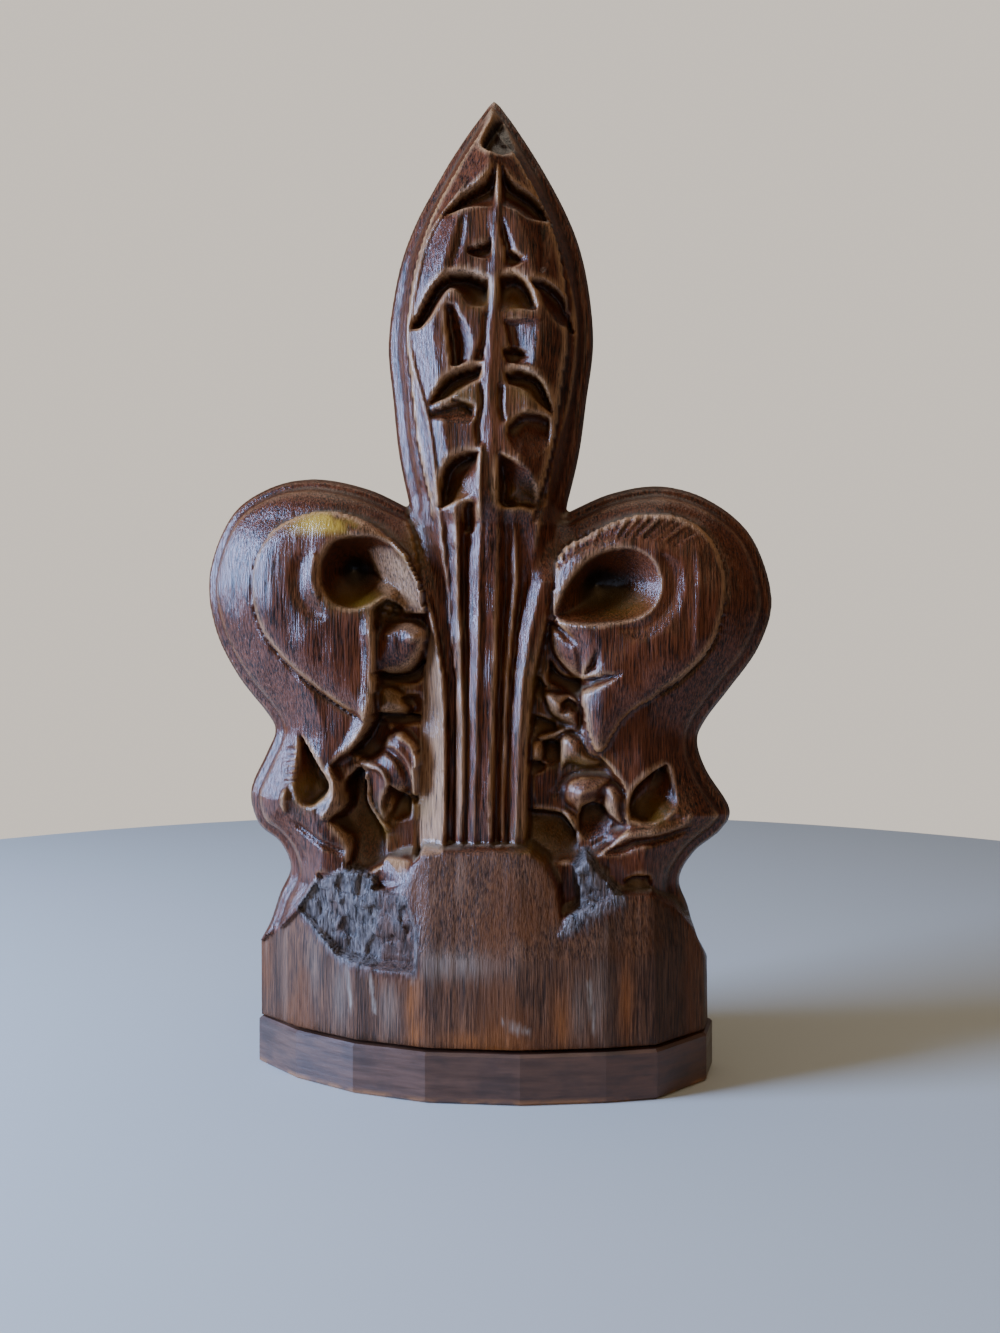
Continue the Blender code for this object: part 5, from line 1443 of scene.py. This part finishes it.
board = bpy.data.materials.new("planed_stained_oak")
board.use_nodes = True
tree = board.node_tree
shader = tree.nodes["Principled BSDF"]
numbers, colours = lay_finish(tree, SLAB_PATTERNS, (), SLAB_MASKS, SLAB_PRODUCTS, SLAB_LAYERS)
tree.links.new(colours["slab"], shader.inputs["Base Color"])
tree.links.new(numbers["roughness"], shader.inputs["Roughness"])
for name, value in SLAB_GLOSS.items():
    shader.inputs[name].default_value = value
SLAB_BUMP = {"Height": numbers["fibre"], "Strength": 0.25, "Distance": 0.0005}
bump = add(tree, "ShaderNodeBump", {}, SLAB_BUMP)
tree.links.new(bump.outputs["Normal"], shader.inputs["Normal"])
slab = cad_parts["base_slab"]
slab.data.materials.clear()
slab.data.materials.append(board)
print("finish on the slab is", board.name)

# %% [markdown]
# The stage is a plain pale disc of painted board.

# %% Floor
FLOOR_RADIUS = 0.55
FLOOR_SIDES = 96
floor_mesh = bmesh.new()
bmesh.ops.create_circle(floor_mesh, cap_ends=True, segments=FLOOR_SIDES, radius=FLOOR_RADIUS)
floor = piece_from(floor_mesh, "floor")
paper = bpy.data.materials.new("pale_floor")
paper.use_nodes = True
paper.node_tree.nodes["Principled BSDF"].inputs["Base Color"].default_value = srgb("#b9bab2")
paper.node_tree.nodes["Principled BSDF"].inputs["Roughness"].default_value = 0.6
floor.data.materials.append(paper)
print("floor", 2 * FLOOR_RADIUS, "m across")

# %% [markdown]
# The photo was lit by one cool window on the left and a little warm light in the room. Three soft
# boxes stand in for them: each is named, placed, sized in metres, given its watts and its tint. The
# world behind is a pale warm grey that the camera sees brighter than the wood does.

# %% Lights
MIDDLE = (0, 0, 0.15)
SOFT_BOXES = (
    ("window_left", (-0.85, -0.30, 0.36), (0.36, 0.55), 42, "#a6c4ff"),
    ("room_front", (0.2, -1.15, 0.6), (0.8, 0.8), 3.1, "#ffd8a8"),
    ("ceiling", (0.0, 0.0, 1.2), (1.0, 1.0), 5, "#fff2df"),
)
WORLD_ON_WOOD = 0.14
WORLD_SEEN = 1.25
for name, spot, size, watts, tint in SOFT_BOXES:
    lamp = bpy.data.lights.new(name, "AREA")
    lamp.shape = "RECTANGLE"
    lamp.size, lamp.size_y = size
    lamp.energy = watts
    lamp.color = srgb(tint)[:3]
    holder = bpy.data.objects.new(name, lamp)
    holder.location = spot
    holder.rotation_euler = (Vector(MIDDLE) - Vector(spot)).to_track_quat("-Z", "Y").to_euler()
    bpy.context.scene.collection.objects.link(holder)
world = bpy.data.worlds.new("pale_room")
world.use_nodes = True
sky = world.node_tree
backdrop = sky.nodes["Background"]
backdrop.inputs["Color"].default_value = srgb("#dcd2c6")
seen = add(sky, "ShaderNodeLightPath").outputs["Is Camera Ray"]
range_of_sky = {"Value": seen, "To Min": WORLD_ON_WOOD, "To Max": WORLD_SEEN}
strength = add(sky, "ShaderNodeMapRange", {}, range_of_sky)
sky.links.new(strength.outputs["Result"], backdrop.inputs["Strength"])
bpy.context.scene.world = world
print(len(SOFT_BOXES), "soft boxes")

# %% [markdown]
# The camera stands where the photographer's did: nearly level with the stem, a little to the right
# and turned three degrees. Its upright lines stay parallel in the photo, so it is level, and a
# small shift frames the head instead of a tilt.

# %% Camera
PHOTO_HIGH = 1333
FOCAL_PIXELS = 1185
HORIZON = 640
TURN = math.radians(3)
SENSOR_HIGH = 24
CAMERA_AT = (0.0250, -0.3842, 0.1374)
camera_data = bpy.data.cameras.new("camera")
camera_data.sensor_fit = "VERTICAL"
camera_data.sensor_height = SENSOR_HIGH
camera_data.lens = FOCAL_PIXELS / PHOTO_HIGH * SENSOR_HIGH
camera_data.shift_y = -(PHOTO_HIGH / 2 - HORIZON) / PHOTO_HIGH
camera = bpy.data.objects.new("camera", camera_data)
camera.location = CAMERA_AT
camera.rotation_euler = (math.pi / 2, 0, TURN)
bpy.context.scene.collection.objects.link(camera)
bpy.context.scene.camera = camera
print("lens", round(camera_data.lens, 1), "mm, shift", round(camera_data.shift_y, 3))

# %% [markdown]
